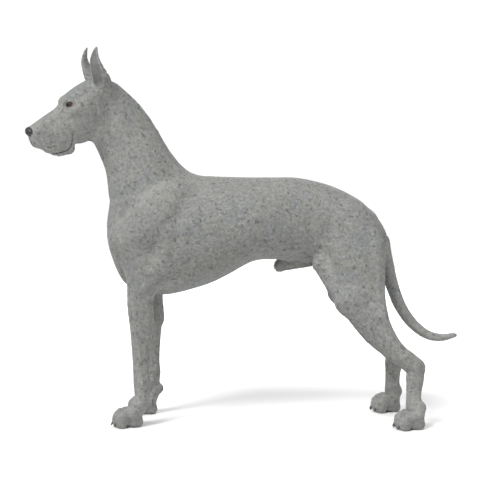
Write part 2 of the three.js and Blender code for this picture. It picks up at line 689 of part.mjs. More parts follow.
// Tail, in three lengths
const tailField = (x, y, z) => Math.max(dog(x, y, z), Math.abs(y) - 33);
let tail = carve(tailField, [[470, 760], [-50, 50], [270, 590]], 4.5, 620);
tail = sound(keep(tail, TAIL_CUT.at, TAIL_CUT.ahead));
const TAIL_JOINS = [{ at: [529, 0, 458], ahead: [0.42, 0, -0.91] }, { at: [628, 0, 316], ahead: [0.93, 0, -0.37] }];
[nodes.tail_root, tail] = part(tail, TAIL_JOINS[0].at, TAIL_JOINS[0].ahead).reverse();
[nodes.tail_middle, nodes.tail_tip] = part(tail, TAIL_JOINS[1].at, TAIL_JOINS[1].ahead).reverse();

// Legs
const DOWN = [0, 0, -1];
const WRIST_CUT = [0, 0, 168];
const HOCK_CUT = { at: [0, 0, 205], ahead: DOWN };
const FOOT_CUT = [0, 0, 78];
const claw = (radius, length) => {
  const cone = new THREE.ConeGeometry(radius, length, CLAW.sides, 2);
  cone.rotateZ(Math.PI / 2);
  const place = cone.attributes.position;
  for (let i = 0; i < place.count; i++) place.setZ(i, place.getZ(i) * 1.15 - 0.011 * (place.getX(i) - length / 2) ** 2);
  return cone;
};
// A claw with its middle at a place, and the slightly larger seat that it needs in the flesh.
function seated({ radius, length, slope }, place) {
  return [[radius, length], [radius + GAP + 0.1, length + 1.5]]
    .map(([r, l]) => solidFrom(claw(r, l).rotateY(-slope).translate(...place)));
}
for (const [name, [fx, fy]] of Object.entries(FEET)) {
  const [end, side] = name.split("_");
  const fore = end === "fore";
  const y = [fy - 75, fy + 70];
  const reach = fore ? [fx - 135, fx + 125] : [fx - 330, fx + 40];
  const upper = carve((px, py, pz) => Math.max(dog(px, py, pz), 30 - py * Math.sign(fy)),
    [reach, y, [FOOT_CUT[2] - 12, fore ? LEG_CUT + 12 : 520]], 5, fore ? 520 : 680);
  let leg = fore ? keep(upper, [0, 0, LEG_CUT], DOWN) : keep(upper, KNEE_CUT.at, KNEE_CUT.ahead);
  leg = keep(leg, FOOT_CUT, [0, 0, 1]);
  const names = fore ? ["forearm", "pastern"] : ["shank", "metatarsus"];
  [nodes[`${names[1]}_${side}`], nodes[`${names[0]}_${side}`]] = part(leg, fore ? WRIST_CUT : HOCK_CUT.at, DOWN);
  let paw = keep(carve(dog, [[fx - 135, fx + 30], [fy - 60, fy + 60], [-12, FOOT_CUT[2] + 12]], 3.5, 480), FOOT_CUT, DOWN).trimByPlane([0, 0, 1], SOLE);
  TOES.forEach(({ y: across, ahead }, n) => {
    const [horn, seat] = seated(CLAW, [fx - 105 - ahead, fy + across, 24]);
    nodes[`claw_${name}_${n + 1}`] = horn;
    paw = paw.subtract(seat);
  });
  nodes[`paw_${name}`] = paw;
  if (!fore) continue;
  const back = side === "right" ? RIGHT_FORE_BACK : 0;
  const [horn, seat] = seated(DEWCLAW, [back - 350, Math.sign(fy) * (FORE_STANCE - 32), 101]);
  nodes[`claw_dew_${side}`] = horn;
  nodes[`pastern_${side}`] = nodes[`pastern_${side}`].subtract(seat);
}

// Colours and finish
const COAT = { color: 0x8f908d, roughness: 0.85 };
const LOOKS = {
  nose: { color: 0x2b2a2b, roughness: 0.45 },
  eye: { color: 0x3a2a1a, roughness: 0.12 },
  claw: { color: 0x2f2c2a, roughness: 0.5 },
};

const group = new THREE.Group();
group.name = "great_dane";
const box = Object.values(nodes).map((solid) => solid.boundingBox());
const low = [0, 1, 2].map((i) => Math.min(...box.map((b) => b.min[i])));
const high = [0, 1, 2].map((i) => Math.max(...box.map((b) => b.max[i])));
for (const [name, solid] of Object.entries(nodes)) {
  const { points, faces } = thin(meshFrom(solid), 0, 0.001); // slivers beside the cuts go
  const geometry = new THREE.BufferGeometry();
  geometry.setAttribute("position", new THREE.Float32BufferAttribute(points.flat(), 3));
  geometry.setIndex(faces.flat());
  geometry.translate(-(low[0] + high[0]) / 2, -(low[1] + high[1]) / 2, -low[2]);
  geometry.computeVertexNormals();
  const look = Object.entries(LOOKS).find(([key]) => name.startsWith(key));
  const mesh = new THREE.Mesh(geometry, new THREE.MeshStandardMaterial(look ? look[1] : COAT));
  mesh.name = name;
  group.add(mesh);
}

export default group;
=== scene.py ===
"""A great dane, life size, standing still on a pale studio floor.

The skin is one smooth field of ovals and chains, in the drawing's millimetres, turned into fine meshes that
lie inside the solids by the depth of the coat. Short tufts cover it and follow the lie of the hair.
Whiskers, eyes, nose and claws are pieces of their own.
"""
import bpy
import numpy as np
from math import cos, pi, radians, sin
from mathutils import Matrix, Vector


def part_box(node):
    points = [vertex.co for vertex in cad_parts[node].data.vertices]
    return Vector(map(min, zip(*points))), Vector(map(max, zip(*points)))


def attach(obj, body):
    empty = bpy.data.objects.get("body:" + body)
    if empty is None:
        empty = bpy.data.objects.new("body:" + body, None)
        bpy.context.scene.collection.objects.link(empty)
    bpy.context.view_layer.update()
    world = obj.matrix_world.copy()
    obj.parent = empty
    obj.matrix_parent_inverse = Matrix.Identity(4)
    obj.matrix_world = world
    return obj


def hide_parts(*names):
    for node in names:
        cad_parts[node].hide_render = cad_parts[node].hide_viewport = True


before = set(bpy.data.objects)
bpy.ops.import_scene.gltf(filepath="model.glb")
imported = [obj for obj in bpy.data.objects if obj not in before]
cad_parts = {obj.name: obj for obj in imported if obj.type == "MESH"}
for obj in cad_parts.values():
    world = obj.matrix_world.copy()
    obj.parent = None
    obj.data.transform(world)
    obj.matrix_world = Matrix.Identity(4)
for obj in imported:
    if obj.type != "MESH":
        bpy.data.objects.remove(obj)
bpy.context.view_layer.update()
random = np.random.default_rng(7)

# Driving sizes, in millimetres of the drawing: the dog faces -X, its left is -Y, and the floor is at SOLE
SOLE = 9
WITHERS = 854
BACK = WITHERS - 5
HEAD_YAW = 20
HEAD_PITCH = 31.5
STOP = np.array([-603.0, -62.0, 1090.0])
FORE_STANCE = 97
HIND_STANCE = 132
RIGHT_FORE_BACK = 23
RIGHT_HIND_BACK = -44
EYE_AT = np.array([-31.0, 38.0, -6.0])
EYE_RADIUS = 12.5
EYE_GAZE = np.array([0.72, 0.68, 0.11])
EYE_OPENING = (11.4, 7.4)
MOUTH_WIDTH = 2.2
MOUTH_DEPTH = 7
MOUTH_CORNER = 20
FELT = 45.0  # how far past its box a shape is worked out
HAIR_HEIGHT = 0.0012  # of the finest hairs in the relief, in metres
COAT_DEPTH = 2.4  # on the body
FACE_DEPTH = 1.0  # on the head, the feet and the tail's tip
LID_RIM = 2.6  # bare width round the eye's opening
WRIST_PAD = (-293, 96)  # how far along and how high, on the left foreleg
WRIST_PAD_RADIUS = 11
BODY_MESH, HEAD_MESH, EAR_MESH, PAW_MESH, LID_MESH, NOSE_MESH = 6.5, 2.8, 1.7, 2.9, 1.1, 1.3
BODY_BOX = [(-560, 765), (-190, 190), (60, 1200)]
HEAD_BOX = [(-725, -380), (-165, 115), (880, 1300)]
EARS_BOX = [(-580, -455), (-165, 105), (1120, 1300)]
NOSE_BOX = [(-725, -655), (-135, -45), (970, 1035)]
LID_REACH = 20

# Shapes of the field


def unit(v):
    v = np.asarray(v, float)
    return v / np.linalg.norm(v)


def smooth(stations, steps):
    """The stations with more between them, on a smooth curve through them all."""
    s = [np.asarray(p, float) for p in stations]
    at = lambda i: s[min(max(i, 0), len(s) - 1)]
    out = []
    for i in range(len(s) - 1):
        for n in range(steps):
            t = n / steps
            a, p, b, c = at(i - 1), at(i), at(i + 1), at(i + 2)
            out.append(p + 0.5 * t * (b - a + t * (2 * a - 5 * p + 4 * b - c + t * (3 * (p - b) + c - a))))
    return np.array(out + [s[-1]])


def box_round(points, reach):
    points = np.asarray(points, float)[:, :3]
    return points.min(0) - reach, points.max(0) + reach


def oval(centre, half, blend):
    """An oval with three half-sizes along X, Y and Z."""
    def distance(p):
        d = p - np.asarray(centre, float)
        share = np.maximum(np.sqrt(((d / half) ** 2).sum(1)), 1e-6)
        reach = np.maximum(np.linalg.norm(d, axis=1), 1e-6)
        return reach * (1 - 1 / share)

    return dict(distance=distance, blend=blend, box=box_round([centre], max(half)))


def chain(stations, blend, side=(0, 1, 0), steps=3):
    """A round-ended chain through [x, y, z, deep, wide]; wide is the half-size towards side."""
    curve = smooth(stations, steps if len(stations) > 2 else 1)

    def distance(p):
        best = np.full(len(p), 1e9)
        for a, b in zip(curve[:-1], curve[1:]):
            run = b[:3] - a[:3]
            axis = unit(run)
            across = unit(np.asarray(side, float) - axis * np.dot(side, axis))
            d = p - a[:3]
            t = np.clip(d @ run / (run @ run), 0, 1)
            q = d - t[:, None] * run
            w = q @ across
            reach2 = np.einsum("ij,ij->i", q, q)
            deep = a[3] + (b[3] - a[3]) * t
            wide = a[4] + (b[4] - a[4]) * t
            share = np.sqrt(np.maximum(0, reach2 - w * w) / deep**2 + w * w / wide**2)
            share = np.maximum(share, 1e-6)
            reach = np.maximum(np.sqrt(reach2), 1e-6)
            best = np.minimum(best, reach * (1 - 1 / share))
        return best

    return dict(distance=distance, blend=blend, box=box_round(curve, curve[:, 3:5].max()))


def trunk(stations, blend):
    """Egg-shaped sections along X, from [x, top, bottom, widest level, half width]."""
    curve = smooth(stations, 6)

    def distance(p):
        x = np.clip(p[:, 0], curve[0, 0], curve[-1, 0])
        top, bottom, widest, half = (np.interp(x, curve[:, 0], curve[:, k]) for k in (1, 2, 3, 4))
        rise = p[:, 2] - widest
        above = rise > 0
        power = np.where(above, 2.25, 2.1)
        tall = np.where(above, top - widest, widest - bottom)
        share = (np.abs(p[:, 1] / half) ** power + np.abs(rise / tall) ** power) ** (1 / power)
        share = np.maximum(share, 1e-6)
        in_plane = np.maximum(np.hypot(p[:, 1], rise), 1e-6) * (1 - 1 / share)
        past = np.abs(p[:, 0] - x)
        return np.where(past == 0, in_plane, np.hypot(np.maximum(in_plane, 0), past))

    widest = curve[:, 4].max()
    low = np.array([curve[0, 0], -widest, curve[:, 2].min()])
    high = np.array([curve[-1, 0], widest, WITHERS + 10.0])
    return dict(distance=distance, blend=blend, box=(low, high))


def flow(a, b, width):
    """Two distances joined by a smooth fillet."""
    h = np.clip(0.5 + 0.5 * (a - b) / width, 0, 1)
    return a + (b - a) * h - width * h * (1 - h)


def all_of(shapes, p):
    """The joined distance of the shapes, each with its own fillet."""
    d = np.full(len(p), FELT)
    for shape in shapes:
        low, high = shape["box"]
        near = np.nonzero(((p > low - FELT) & (p < high + FELT)).all(1))[0]
        if len(near):
            d[near] = flow(d[near], shape["distance"](p[near]), shape["blend"])
    return d


# The body

TRUNK = trunk([
    [-453, 690, 650, 668, 4],
    [-441, 752, 592, 674, 50],
    [-405, 800, 508, 665, 94],
    [-340, 838, 466, 655, 122],
    [-255, WITHERS + 3, 447, 640, 138],
    [-130, WITHERS, 477, 640, 156],
    [-50, BACK + 2, 512, 655, 160],
    [40, BACK, 561, 685, 150],
    [110, BACK, 569, 705, 134],
    [200, BACK - 2, 562, 715, 116],
    [305, 822, 556, 700, 112],
    [390, 782, 550, 680, 104],
    [438, 741, 550, 650, 84],
    [482, 684, 565, 618, 48],
    [499, 644, 602, 620, 6],
], 1)

NECK = [
    chain([
        [-460, -10, 1095, 84, 56],
        [-424, -5, 1040, 98, 60],
        [-388, 0, 971, 101, 66],
        [-352, 0, 892, 108, 80],
        [-321, 0, 795, 127, 102],
    ], 36, steps=5),
    chain([
        [-430, 0, 1094, 31, 20],
        [-343, 0, 1023, 37, 24],
        [-278, 0, 913, 41, 34],
        [-185, 0, 812, 42, 46],
    ], 40),
    chain([[-419, 0, 706, 22, 70], [-393, 0, 604, 36, 66], [-366, 0, 520, 36, 60]], 30),
]

TAIL = [
    [428, 0, 702, 38, 38],
    [474, 0, 633, 33, 30],
    [497, 0, 567, 27, 26],
    [513, 0, 508, 24, 24],
    [529, 0, 458, 22.5, 22],
    [552, 0, 404, 21, 20.5],
    [589, 0, 350, 19, 18],
    [640, 0, 309, 16.5, 16],
    [690, 0, 297, 13.5, 13],
    [733, 0, 304, 10, 9.5],
]

SHEATH = chain([[134, 0, 546, 21, 17], [190, 0, 557, 23, 18], [250, 0, 572, 28, 22]], 14)


def foreleg(side, back):
    def at(x, y, z, *half):
        return [x + back, side * (FORE_STANCE + y), z, *half]

    def shoulder(x, y, z, *half):
        return [x, side * (FORE_STANCE + y), z, *half]

    return [
        chain([
            shoulder(-205, 0, 790, 52, 22),
            shoulder(-280, 18, 715, 66, 34),
            shoulder(-365, 14, 640, 52, 36),
        ], 44),
        chain([
            shoulder(-385, -8, 640, 56, 42),
            shoulder(-340, 6, 570, 56, 42),
            at(-318, 4, 505, 46, 38),
        ], 36),
        chain([
            shoulder(-205, 20, 670, 44, 28),
            shoulder(-235, 14, 580, 50, 34),
            at(-294, 4, 514, 30, 28),
        ], 34),
        chain([
            at(-332, 0, 520, 48, 38),
            at(-339, 0, 430, 42, 37),
            at(-333, 0, 360, 41, 33),
            at(-334, 0, 290, 34, 27),
            at(-334, 0, 205, 29, 24),
            at(-332, 0, 160, 30, 27),
            at(-332, 1, 130, 27, 26),
            at(-334, 2, 100, 25, 25),
            at(-345, 2, 74, 27, 29),
        ], 26),
        chain([at(-319, 0, 470, 22, 22), at(-315, 0, 410, 17, 18), at(-308, 0, 350, 15, 17)], 22),
        oval(at(-303, 0, 99), [11, 11, 15], 18),
        chain([at(-333, -24, 132, 10, 8), at(-345, -31, 112, 8, 7)], 8),
    ]


def hindleg(side, back):
    def at(share, x, y, z, *half):
        return [x + back * share, side * (HIND_STANCE + y), z, *half]

    return [
        chain([
            at(0, 382, -64, 697, 66, 46),
            at(0, 390, -42, 610, 92, 50),
            at(0.1, 390, -28, 520, 80, 50),
            at(0.2, 374, -14, 447, 54, 38),
        ], 44),
        chain([
            at(0, 432, -52, 620, 46, 42),
            at(0.1, 444, -38, 520, 42, 40),
            at(0.3, 460, -18, 425, 33, 28),
            at(0.5, 494, -6, 345, 19, 17),
            at(0.8, 545, 0, 268, 12, 12),
            at(1, 601, 0, 224, 15, 15),
        ], 30),
        chain([
            at(0.2, 366, -8, 443, 44, 33),
            at(0.5, 438, -3, 360, 42, 33),
            at(0.8, 503, 0, 285, 34, 26),
            at(1, 580, 0, 222, 31, 23),
            at(1, 588, 1, 185, 32, 22),
            at(1, 585, 2, 140, 27, 20),
            at(1, 584, 3, 85, 26, 24),
        ], 28),
        chain([at(0, 268, -44, 562, 26, 16), at(0, 314, -24, 494, 28, 20)], 36),
    ]


FEET = {
    "fore_left": (-326, -FORE_STANCE - 3),
    "fore_right": (-312 + RIGHT_FORE_BACK, FORE_STANCE + 3),
    "hind_left": (627, -HIND_STANCE - 3),
    "hind_right": (617 + RIGHT_HIND_BACK, HIND_STANCE + 3),
}
TOES = [(-33, -13), (-12, 0), (12, 0), (33, -13)]  # how far across, how far ahead


def foot(place):
    fx, fy = place

    def at(x, y, z, *half):
        return [fx + x, fy + y, z, *half]

    toes = [chain([
        at(-30, y * 0.6, 52, 17, 15),
        at(-77 - ahead, y * 0.95, 51, 20, 13.5),
        at(-90 - ahead, y, 33, 18, 13),
        at(-85 - ahead, y, 19, 16, 12.5),
    ], 6, steps=2) for y, ahead in TOES]
    return toes + [
        chain([at(-20, 0, 80, 20, 26), at(-34, 0, 50, 24, 30)], 20),
        chain([at(-44, 0, 34, 22, 30), at(-66, 0, 30, 18, 30)], 12),
        oval(at(-30, 0, 24), [27, 28, 20], 18),
    ]


BODY = [TRUNK, *NECK, chain(TAIL, 22), SHEATH, *foreleg(-1, 0), *foreleg(1, RIGHT_FORE_BACK),
        *hindleg(-1, 0), *hindleg(1, RIGHT_HIND_BACK)]
for place in FEET.values():
    BODY += foot(place)

# The head, in its own frame: +x to the nose, +y to its left, +z up. Every shape lies on the left

CY, SY = cos(radians(HEAD_YAW)), sin(radians(HEAD_YAW))
CP, SP = cos(radians(HEAD_PITCH)), sin(radians(HEAD_PITCH))
HEAD_AXES = np.array([[-CP * CY, -CP * SY, -SP], [SY, -CY, 0], [-SP * CY, -SP * SY, CP]])


def in_head(p):
    return (p - STOP) @ HEAD_AXES.T


def from_head(q):
    return np.asarray(q, float) @ HEAD_AXES + STOP


EAR_OPENS = unit([0.68, 0.72, 0.1])
EAR_SIDE = unit(np.cross([0, 0, 1], EAR_OPENS))
EAR = [
    [-150, 52, -20, 24, 34],
    [-157, 61, 12, 19, 32],
    [-161, 69, 44, 13, 26],
    [-169, 70, 76, 9, 20],
    [-184, 67, 97, 6.5, 13],
    [-197, 66, 108, 4, 6],
]
EAR_CUP = [
    [-139, 67, 6, 13, 19],
    [-150, 74, 42, 9.5, 19],
    [-161, 75, 73, 6.5, 14.5],
    [-178, 71, 94, 3.5, 8.5],
    [-188, 69, 103, 1.5, 3.5],
]
SKULL = [
    chain([[-118, 0, -32, 52, 58], [-80, 0, -29, 56, 62], [-36, 0, -28, 50, 52]], 20),
    chain([[-29, 15, 3, 16, 20], [-64, 16, 4, 18, 26], [-112, 12, 4, 20, 28]], 16),
    oval([-27, 30, 7], [18, 15, 11], 12),
    chain([[-20, 55, -36, 14, 9], [-56, 62, -36, 20, 10], [-98, 62, -36, 26, 12]], 20),
    oval([-82, 52, -66], [42, 18, 40], 26),
    chain([[-16, 0, -30, 32, 42], [40, 0, -30, 29, 37], [116, 0, -33, 28, 34]], 18),
    chain([[0, 0, -13, 13, 23], [60, 0, -14, 14, 20], [122, 0, -17, 14, 18]], 12),
    chain([[118, 24, -56, 30, 12], [84, 34, -76, 38, 12], [34, 40, -80, 40, 12]], 16),
    chain([[107, 12, -57, 22, 22], [95, 16, -95, 27, 24]], 12),
    chain([[88, 32, -121, 17, 10], [54, 34, -130, 20, 10]], 14),
    chain([[104, 0, -98, 16, 22], [40, 0, -104, 24, 28], [-50, 0, -104, 26, 38]], 14),
    chain([[30, 28, -84, 44, 16], [-20, 42, -78, 42, 18], [-60, 46, -72, 40, 20]], 20),
    chain([[-18, 0, -109, 38, 34], [-60, 0, -98, 54, 46], [-110, 0, -69, 66, 50]], 28),
    chain(EAR, 12, EAR_SIDE),
]
NOSE = [
    oval([131, 0, -16], [15, 22, 16], 3),
    oval([130, 14, -21], [14, 12, 13], 5),
]
NOSTRIL = [
    oval([145, 11, -17], [10, 5.5, 6], 2),
    chain([[142, 14, -22, 2.4, 2.4], [134, 27, -27, 2, 2]], 4),
]
PHILTRUM = chain([[147, 0, -22, 1.6, 1.6], [143, 0, -80, 1.6, 1.6]], 1)
CUP = chain(EAR_CUP, 2, EAR_SIDE)
MOUTH = smooth([
    [16, -86],
    [28, -103],
    [44, -123],
    [64, -130],
    [96, -121],
    [122, -107],
    [140, -92],
    [156, -86],
], 4)

GAZE = unit(EYE_GAZE)
EYE_ACROSS = unit(np.cross([0, 0, 1], GAZE))
EYE_UP = np.cross(GAZE, EYE_ACROSS)


def mirrored(p):
    q = in_head(p)
    q[:, 1] = np.abs(q[:, 1])
    return q


def eyeball(q):
    return np.linalg.norm(q - EYE_AT, axis=1) - EYE_RADIUS


def eye_opening(q):
    d = q - (EYE_AT + GAZE * EYE_RADIUS)
    half, tall = EYE_OPENING
    spread = np.stack([d @ EYE_ACROSS / half, d @ EYE_UP / tall, d @ GAZE / 9])
    return (np.linalg.norm(spread, axis=0) - 1) * tall


def head_hollows(q, skin):
    """The head's skin with the mouth line, philtrum, ear cups and lids' openings cut in."""
    level = np.interp(q[:, 0], MOUTH[:, 0], MOUTH[:, 1])
    gap = np.abs(q[:, 2] - level) - MOUTH_WIDTH / 2
    mouth = np.maximum.reduce([gap, MOUTH_CORNER - q[:, 0], -MOUTH_DEPTH - skin])
    hollows = [-mouth, -PHILTRUM["distance"](q), -CUP["distance"](q), -eye_opening(q)]
    return np.maximum.reduce([skin, *hollows])


# Lines of muscle and tendon on the flanks, as (half width, height, [x, z] points); below zero is a groove
BODY_LINES = [
    (22, 2.0, [(-222, 790), (-272, 732), (-322, 690), (-350, 655)]),  # ridge of the shoulder blade
    (24, -4.2, [(-186, 780), (-204, 710), (-210, 640), (-232, 565)]),
    (20, -3.2, [(-348, 636), (-312, 606), (-266, 592)]),
    (18, -2.2, [(-256, 758), (-296, 720), (-340, 684)]),
    (20, -4.0, [(-498, 968), (-450, 880), (-424, 810), (-418, 760)]),  # groove of the throat
    (22, -2.6, [(-436, 1050), (-396, 960), (-352, 870), (-310, 815)]),
    (20, -3.4, [(306, 680), (328, 620), (350, 556), (370, 500)]),  # between the muscles of the thigh
    (18, -3.2, [(432, 640), (440, 580), (446, 500), (466, 430)]),
    (12, -4.2, [(466, 366), (510, 314), (550, 272)]),  # hollow in front of the hock's tendon
    (8, -1.4, [(588, 190), (588, 150), (590, 105)]),
    (8, -1.6, [(-322, 452), (-322, 380), (-325, 300), (-328, 215)]),
    (7, 1.0, [(-350, 420), (-349, 330), (-352, 240)]),
    (26, -3.0, [(196, 780), (238, 730), (256, 660)]),
]
for n in range(7):
    rib = [(-150 + 34 * n, 716 - 4 * n), (-128 + 36 * n, 650), (-88 + 36 * n, 586 + 6 * n)]
    BODY_LINES.append((11, 0.8, rib))

# Folds and veins of the face, in the head's own frame as (half width, height, [x, z] points)
FACE_LINES = [
    (2.6, -1.3, [(-50, 3), (-34, 10), (-14, 3)]),  # fold over the upper lid
    (2.6, -1.3, [(-46, -16), (-32, -23), (-12, -17)]),
    (7, -1.7, [(-24, -52), (18, -47), (64, -50)]),
    (6, -1.7, [(-40, -108), (-26, -78), (-38, -54)]),  # front edge of the chewing muscle
    (2.4, 0.8, [(12, -12), (34, -36), (46, -62), (44, -86)]),
    (3.2, -1.3, [(78, -60), (66, -88), (60, -112)]),  # folds of the hanging lip
    (2.6, -0.9, [(96, -64), (88, -88)]),
    (3.2, -1.2, [(120, -32), (102, -42), (82, -45)]),
    (6, -1.2, [(-42, 21), (-78, 28), (-112, 24)]),
    (3.2, -0.9, [(-92, 6), (-118, -6)]),
    (4, -1.1, [(-70, -92), (-88, -66), (-96, -38)]),
]


def line_height(u, v, lines):
    """Height of soft ridges and grooves along lines drawn in a plane."""
    height = np.zeros(len(u))
    for width, rise, points in lines:
        curve = smooth(points, 4)
        reach = 2.6 * width
        low, high = curve.min(0) - reach, curve.max(0) + reach
        near = np.nonzero((u > low[0]) & (u < high[0]) & (v > low[1]) & (v < high[1]))[0]
        if not len(near):
            continue
        here = np.stack([u[near], v[near]], 1)
        best = np.full(len(near), 1e9)
        for a, b in zip(curve[:-1], curve[1:]):
            run = b - a
            t = np.clip((here - a) @ run / (run @ run), 0, 1)
            best = np.minimum(best, ((here - a - t[:, None] * run) ** 2).sum(1))
        height[near] += rise * np.exp(-best / width**2)
    return height


def body_relief(p):
    """Height of the lines on the flanks, moved with the right legs where they stand back or forward."""
    x, y, z = p.T
    right = y > 0
    fore = np.clip((600 - z) / 100, 0, 1) * (x < 0) * RIGHT_FORE_BACK
    hind = np.clip((452 - z) / 230, 0, 1) * (x > 200) * RIGHT_HIND_BACK
    return line_height(x - right * (fore + hind), z, BODY_LINES) * np.clip((np.abs(y) - 18) / 22, 0, 1)


def head_share(p):
    """1 on the head, 0 on the body, with the change on the upper neck."""
    q = in_head(p)
    return np.clip((q[:, 0] + 200) / 70, 0, 1) * np.clip((q[:, 2] + 210) / 60, 0, 1)


def coat_depth(p):
    """How far the skin lies inside the solids: less on the head, the legs' ends and the tail's tip."""
    feet = np.clip((170 - p[:, 2]) / 90, 0, 1)
    tail = np.clip((p[:, 0] - 560) / 120, 0, 1) * (np.abs(p[:, 1]) < 60)
    thin = np.maximum(np.maximum(head_share(p), feet), tail)
    thin = thin * thin * (3 - 2 * thin)
    return COAT_DEPTH + (FACE_DEPTH - COAT_DEPTH) * thin


def dog(p):
    """The skin: below zero inside."""
    d = all_of(BODY, p)
    near = np.nonzero((p[:, 0] < -350) & (p[:, 2] > 850))[0]
    depth = coat_depth(p)
    d -= body_relief(p)
    if len(near):
        q = mirrored(p[near])
        off_middle = np.clip((q[:, 1] - 6) / 12, 0, 1)
        head = all_of(SKULL, q) - line_height(q[:, 0], q[:, 2], FACE_LINES) * off_middle
        skin = flow(flow(d[near], head, 30), eyeball(q) - 3, 5) + depth[near]
        d[near] = head_hollows(q, skin) - depth[near]
    return np.maximum(d + depth, SOLE + 0.4 - p[:, 2])


# Surface meshes


def grid_values(field, low, size, step):
    """Field values on a grid; far from the surface only every fourth point is worked out."""
    coarse = [int(np.ceil(n / 4)) + 1 for n in size]
    spots = np.stack(np.meshgrid(*[np.arange(n) for n in coarse], indexing="ij"), -1).reshape(-1, 3)
    rough = field(low + spots * step * 4.0).reshape(coarse)
    value = np.repeat(np.repeat(np.repeat(rough, 4, 0), 4, 1), 4, 2)
    near = np.abs(rough) < step * 9
    wide = near.copy()
    for axis in range(3):
        wide |= np.roll(near, 1, axis) | np.roll(near, -1, axis)
    blocks = np.argwhere(wide)
    inner = np.stack(np.meshgrid(*[np.arange(4)] * 3, indexing="ij"), -1).reshape(-1, 3)
    for start in range(0, len(blocks), 6000):
        at = (blocks[start:start + 6000, None] * 4 + inner).reshape(-1, 3)
        value[at[:, 0], at[:, 1], at[:, 2]] = field(low + at * float(step))
    value = value[:size[0], :size[1], :size[2]]
    for axis in range(3):
        for end in (0, -1):
            rim = [slice(None)] * 3
            rim[axis] = end
            value[tuple(rim)] = np.maximum(value[tuple(rim)], 0.01)
    return value


def surface(field, box, step):
    """Surface nets: a point in each cell that the surface crosses, then moved on to the surface."""
    low = np.array([b[0] for b in box], float)
    size = [int(np.ceil((b[1] - b[0]) / step)) + 1 for b in box]
    value = grid_values(field, low, size, step)
    inside = value < 0
    cells = np.zeros([n - 1 for n in size], np.int8)
    corners = [(a, b, c) for a in (0, 1) for b in (0, 1) for c in (0, 1)]
    view = lambda grid, c: grid[c[0]:size[0] - 1 + c[0], c[1]:size[1] - 1 + c[1], c[2]:size[2] - 1 + c[2]]
    for c in corners:
        cells += view(inside, c)
    crossed = (cells > 0) & (cells < 8)
    spots = np.argwhere(crossed)
    number = np.full(cells.shape, -1, np.int64)
    number[crossed] = np.arange(len(spots))
    total = np.zeros((len(spots), 3))
    count = np.zeros(len(spots))
    for c in corners:
        for axis in range(3):
            if c[axis]:
                continue
            e = list(c)
            e[axis] = 1
            a = value[tuple((spots + c).T)]
            b = value[tuple((spots + e).T)]
            hit = (a < 0) != (b < 0)
            t = np.where(hit, a / np.where(hit, a - b, 1), 0)
            point = np.tile(np.array(c, float), (len(spots), 1))
            point[:, axis] = t
            total += point * hit[:, None]
            count += hit
    points = low + (spots + total / count[:, None]) * step
    faces = []
    for axis in range(3):
        a, b = [slice(None)] * 3, [slice(None)] * 3
        a[axis], b[axis] = slice(0, -1), slice(1, None)
        first, second = inside[tuple(a)], inside[tuple(b)]
        edge = np.argwhere(first != second)
        u, v = np.eye(3, dtype=int)[(axis + 1) % 3], np.eye(3, dtype=int)[(axis + 2) % 3]
        edge = edge[(edge @ u > 0) & (edge @ v > 0)]
        out = first[tuple(edge.T)]
        quad = np.stack([number[tuple((edge - s).T)] for s in (u + v, v, 0 * u, u)], 1)
        quad[~out] = quad[~out][:, ::-1]
        faces.append(quad)
    points = settle(points, field, step * 0.6)
    return settle(points, field, step * 0.3), np.concatenate(faces)


def slope_of(field, points, h=0.6):
    """The field at the points and its slope, felt over a step of h."""
    here = field(points)
    return here, np.stack([(field(points + h * e) - here) / h for e in np.eye(3)], 1)


def settle(points, field, most):
    """The points moved on to the surface, each by no more than most."""
    here, slope = slope_of(field, points)
    steep = np.einsum("ij,ij->i", slope, slope)
    move = np.where(steep < 0.15, 0, -np.clip(here, -most, most) / np.maximum(steep, 0.7))
    return points + slope * move[:, None]


# Charts for OFBake: each part of the skin is seen along the six ways, with the views laid side by side


def part_of(p):
    """Numbers the parts that would hide each other in one view."""
    part = np.zeros(len(p), int)
    q = in_head(p)
    x, y, z = p.T
    part[(z < 445) & (x < -150) & (y < 0)] = 1
    part[(z < 445) & (x < -150) & (y >= 0)] = 2
    part[(z < 640) & (x > 240) & (y < -36)] = 3
    part[(z < 640) & (x > 240) & (y > 36)] = 4
    part[(x > 470) & (np.abs(y) <= 36) & (z < 560)] = 5
    head = (x < -380) & (z > 880)
    part[head & (q[:, 2] > 24) & (q[:, 0] < -105) & (q[:, 1] > 0)] = 6
    part[head & (q[:, 2] > 24) & (q[:, 0] < -105) & (q[:, 1] < 0)] = 7
    return part


def unwrap(points, faces):
    """One place in the unit square for every corner of every face."""
    corner = points[faces]
    normal = np.cross(corner[:, 2] - corner[:, 0], corner[:, 3] - corner[:, 1])
    axis = np.abs(normal).argmax(1)
    sign = np.take_along_axis(normal, axis[:, None], 1)[:, 0] > 0
    chart = (part_of(corner.mean(1)) * 3 + axis) * 2 + sign
    flat = np.zeros((len(faces), 4, 2))
    for k, (u, v) in enumerate([(1, 2), (0, 2), (0, 1)]):
        chosen = axis == k
        flat[chosen] = corner[chosen][:, :, [u, v]]
    names = np.unique(chart)
    sizes = {}
    for name in names:
        chosen = chart == name
        low = flat[chosen].reshape(-1, 2).min(0)
        flat[chosen] -= low
        sizes[name] = flat[chosen].reshape(-1, 2).max(0)
    margin = 12.0
    order = sorted(names, key=lambda n: -sizes[n][1])
    width = max(sizes[n][0] for n in names) + 2 * margin
    while True:
        x = y = margin
        row = 0.0
        place = {}
        for name in order:
            w, h = sizes[name]
            if x + w + margin > width:
                x, y, row = margin, y + row + margin, 0.0
            place[name] = (x, y)
            x, row = x + w + margin, max(row, h)
        if y + row + margin <= width:
            break
        width *= 1.06
    for name in names:
        flat[chart == name] += place[name]
    return flat / width


# Objects

shift = from_head(EYE_AT) - 500.0 * (np.array(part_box("eye_left")[0]) + np.array(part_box("eye_left")[1]))


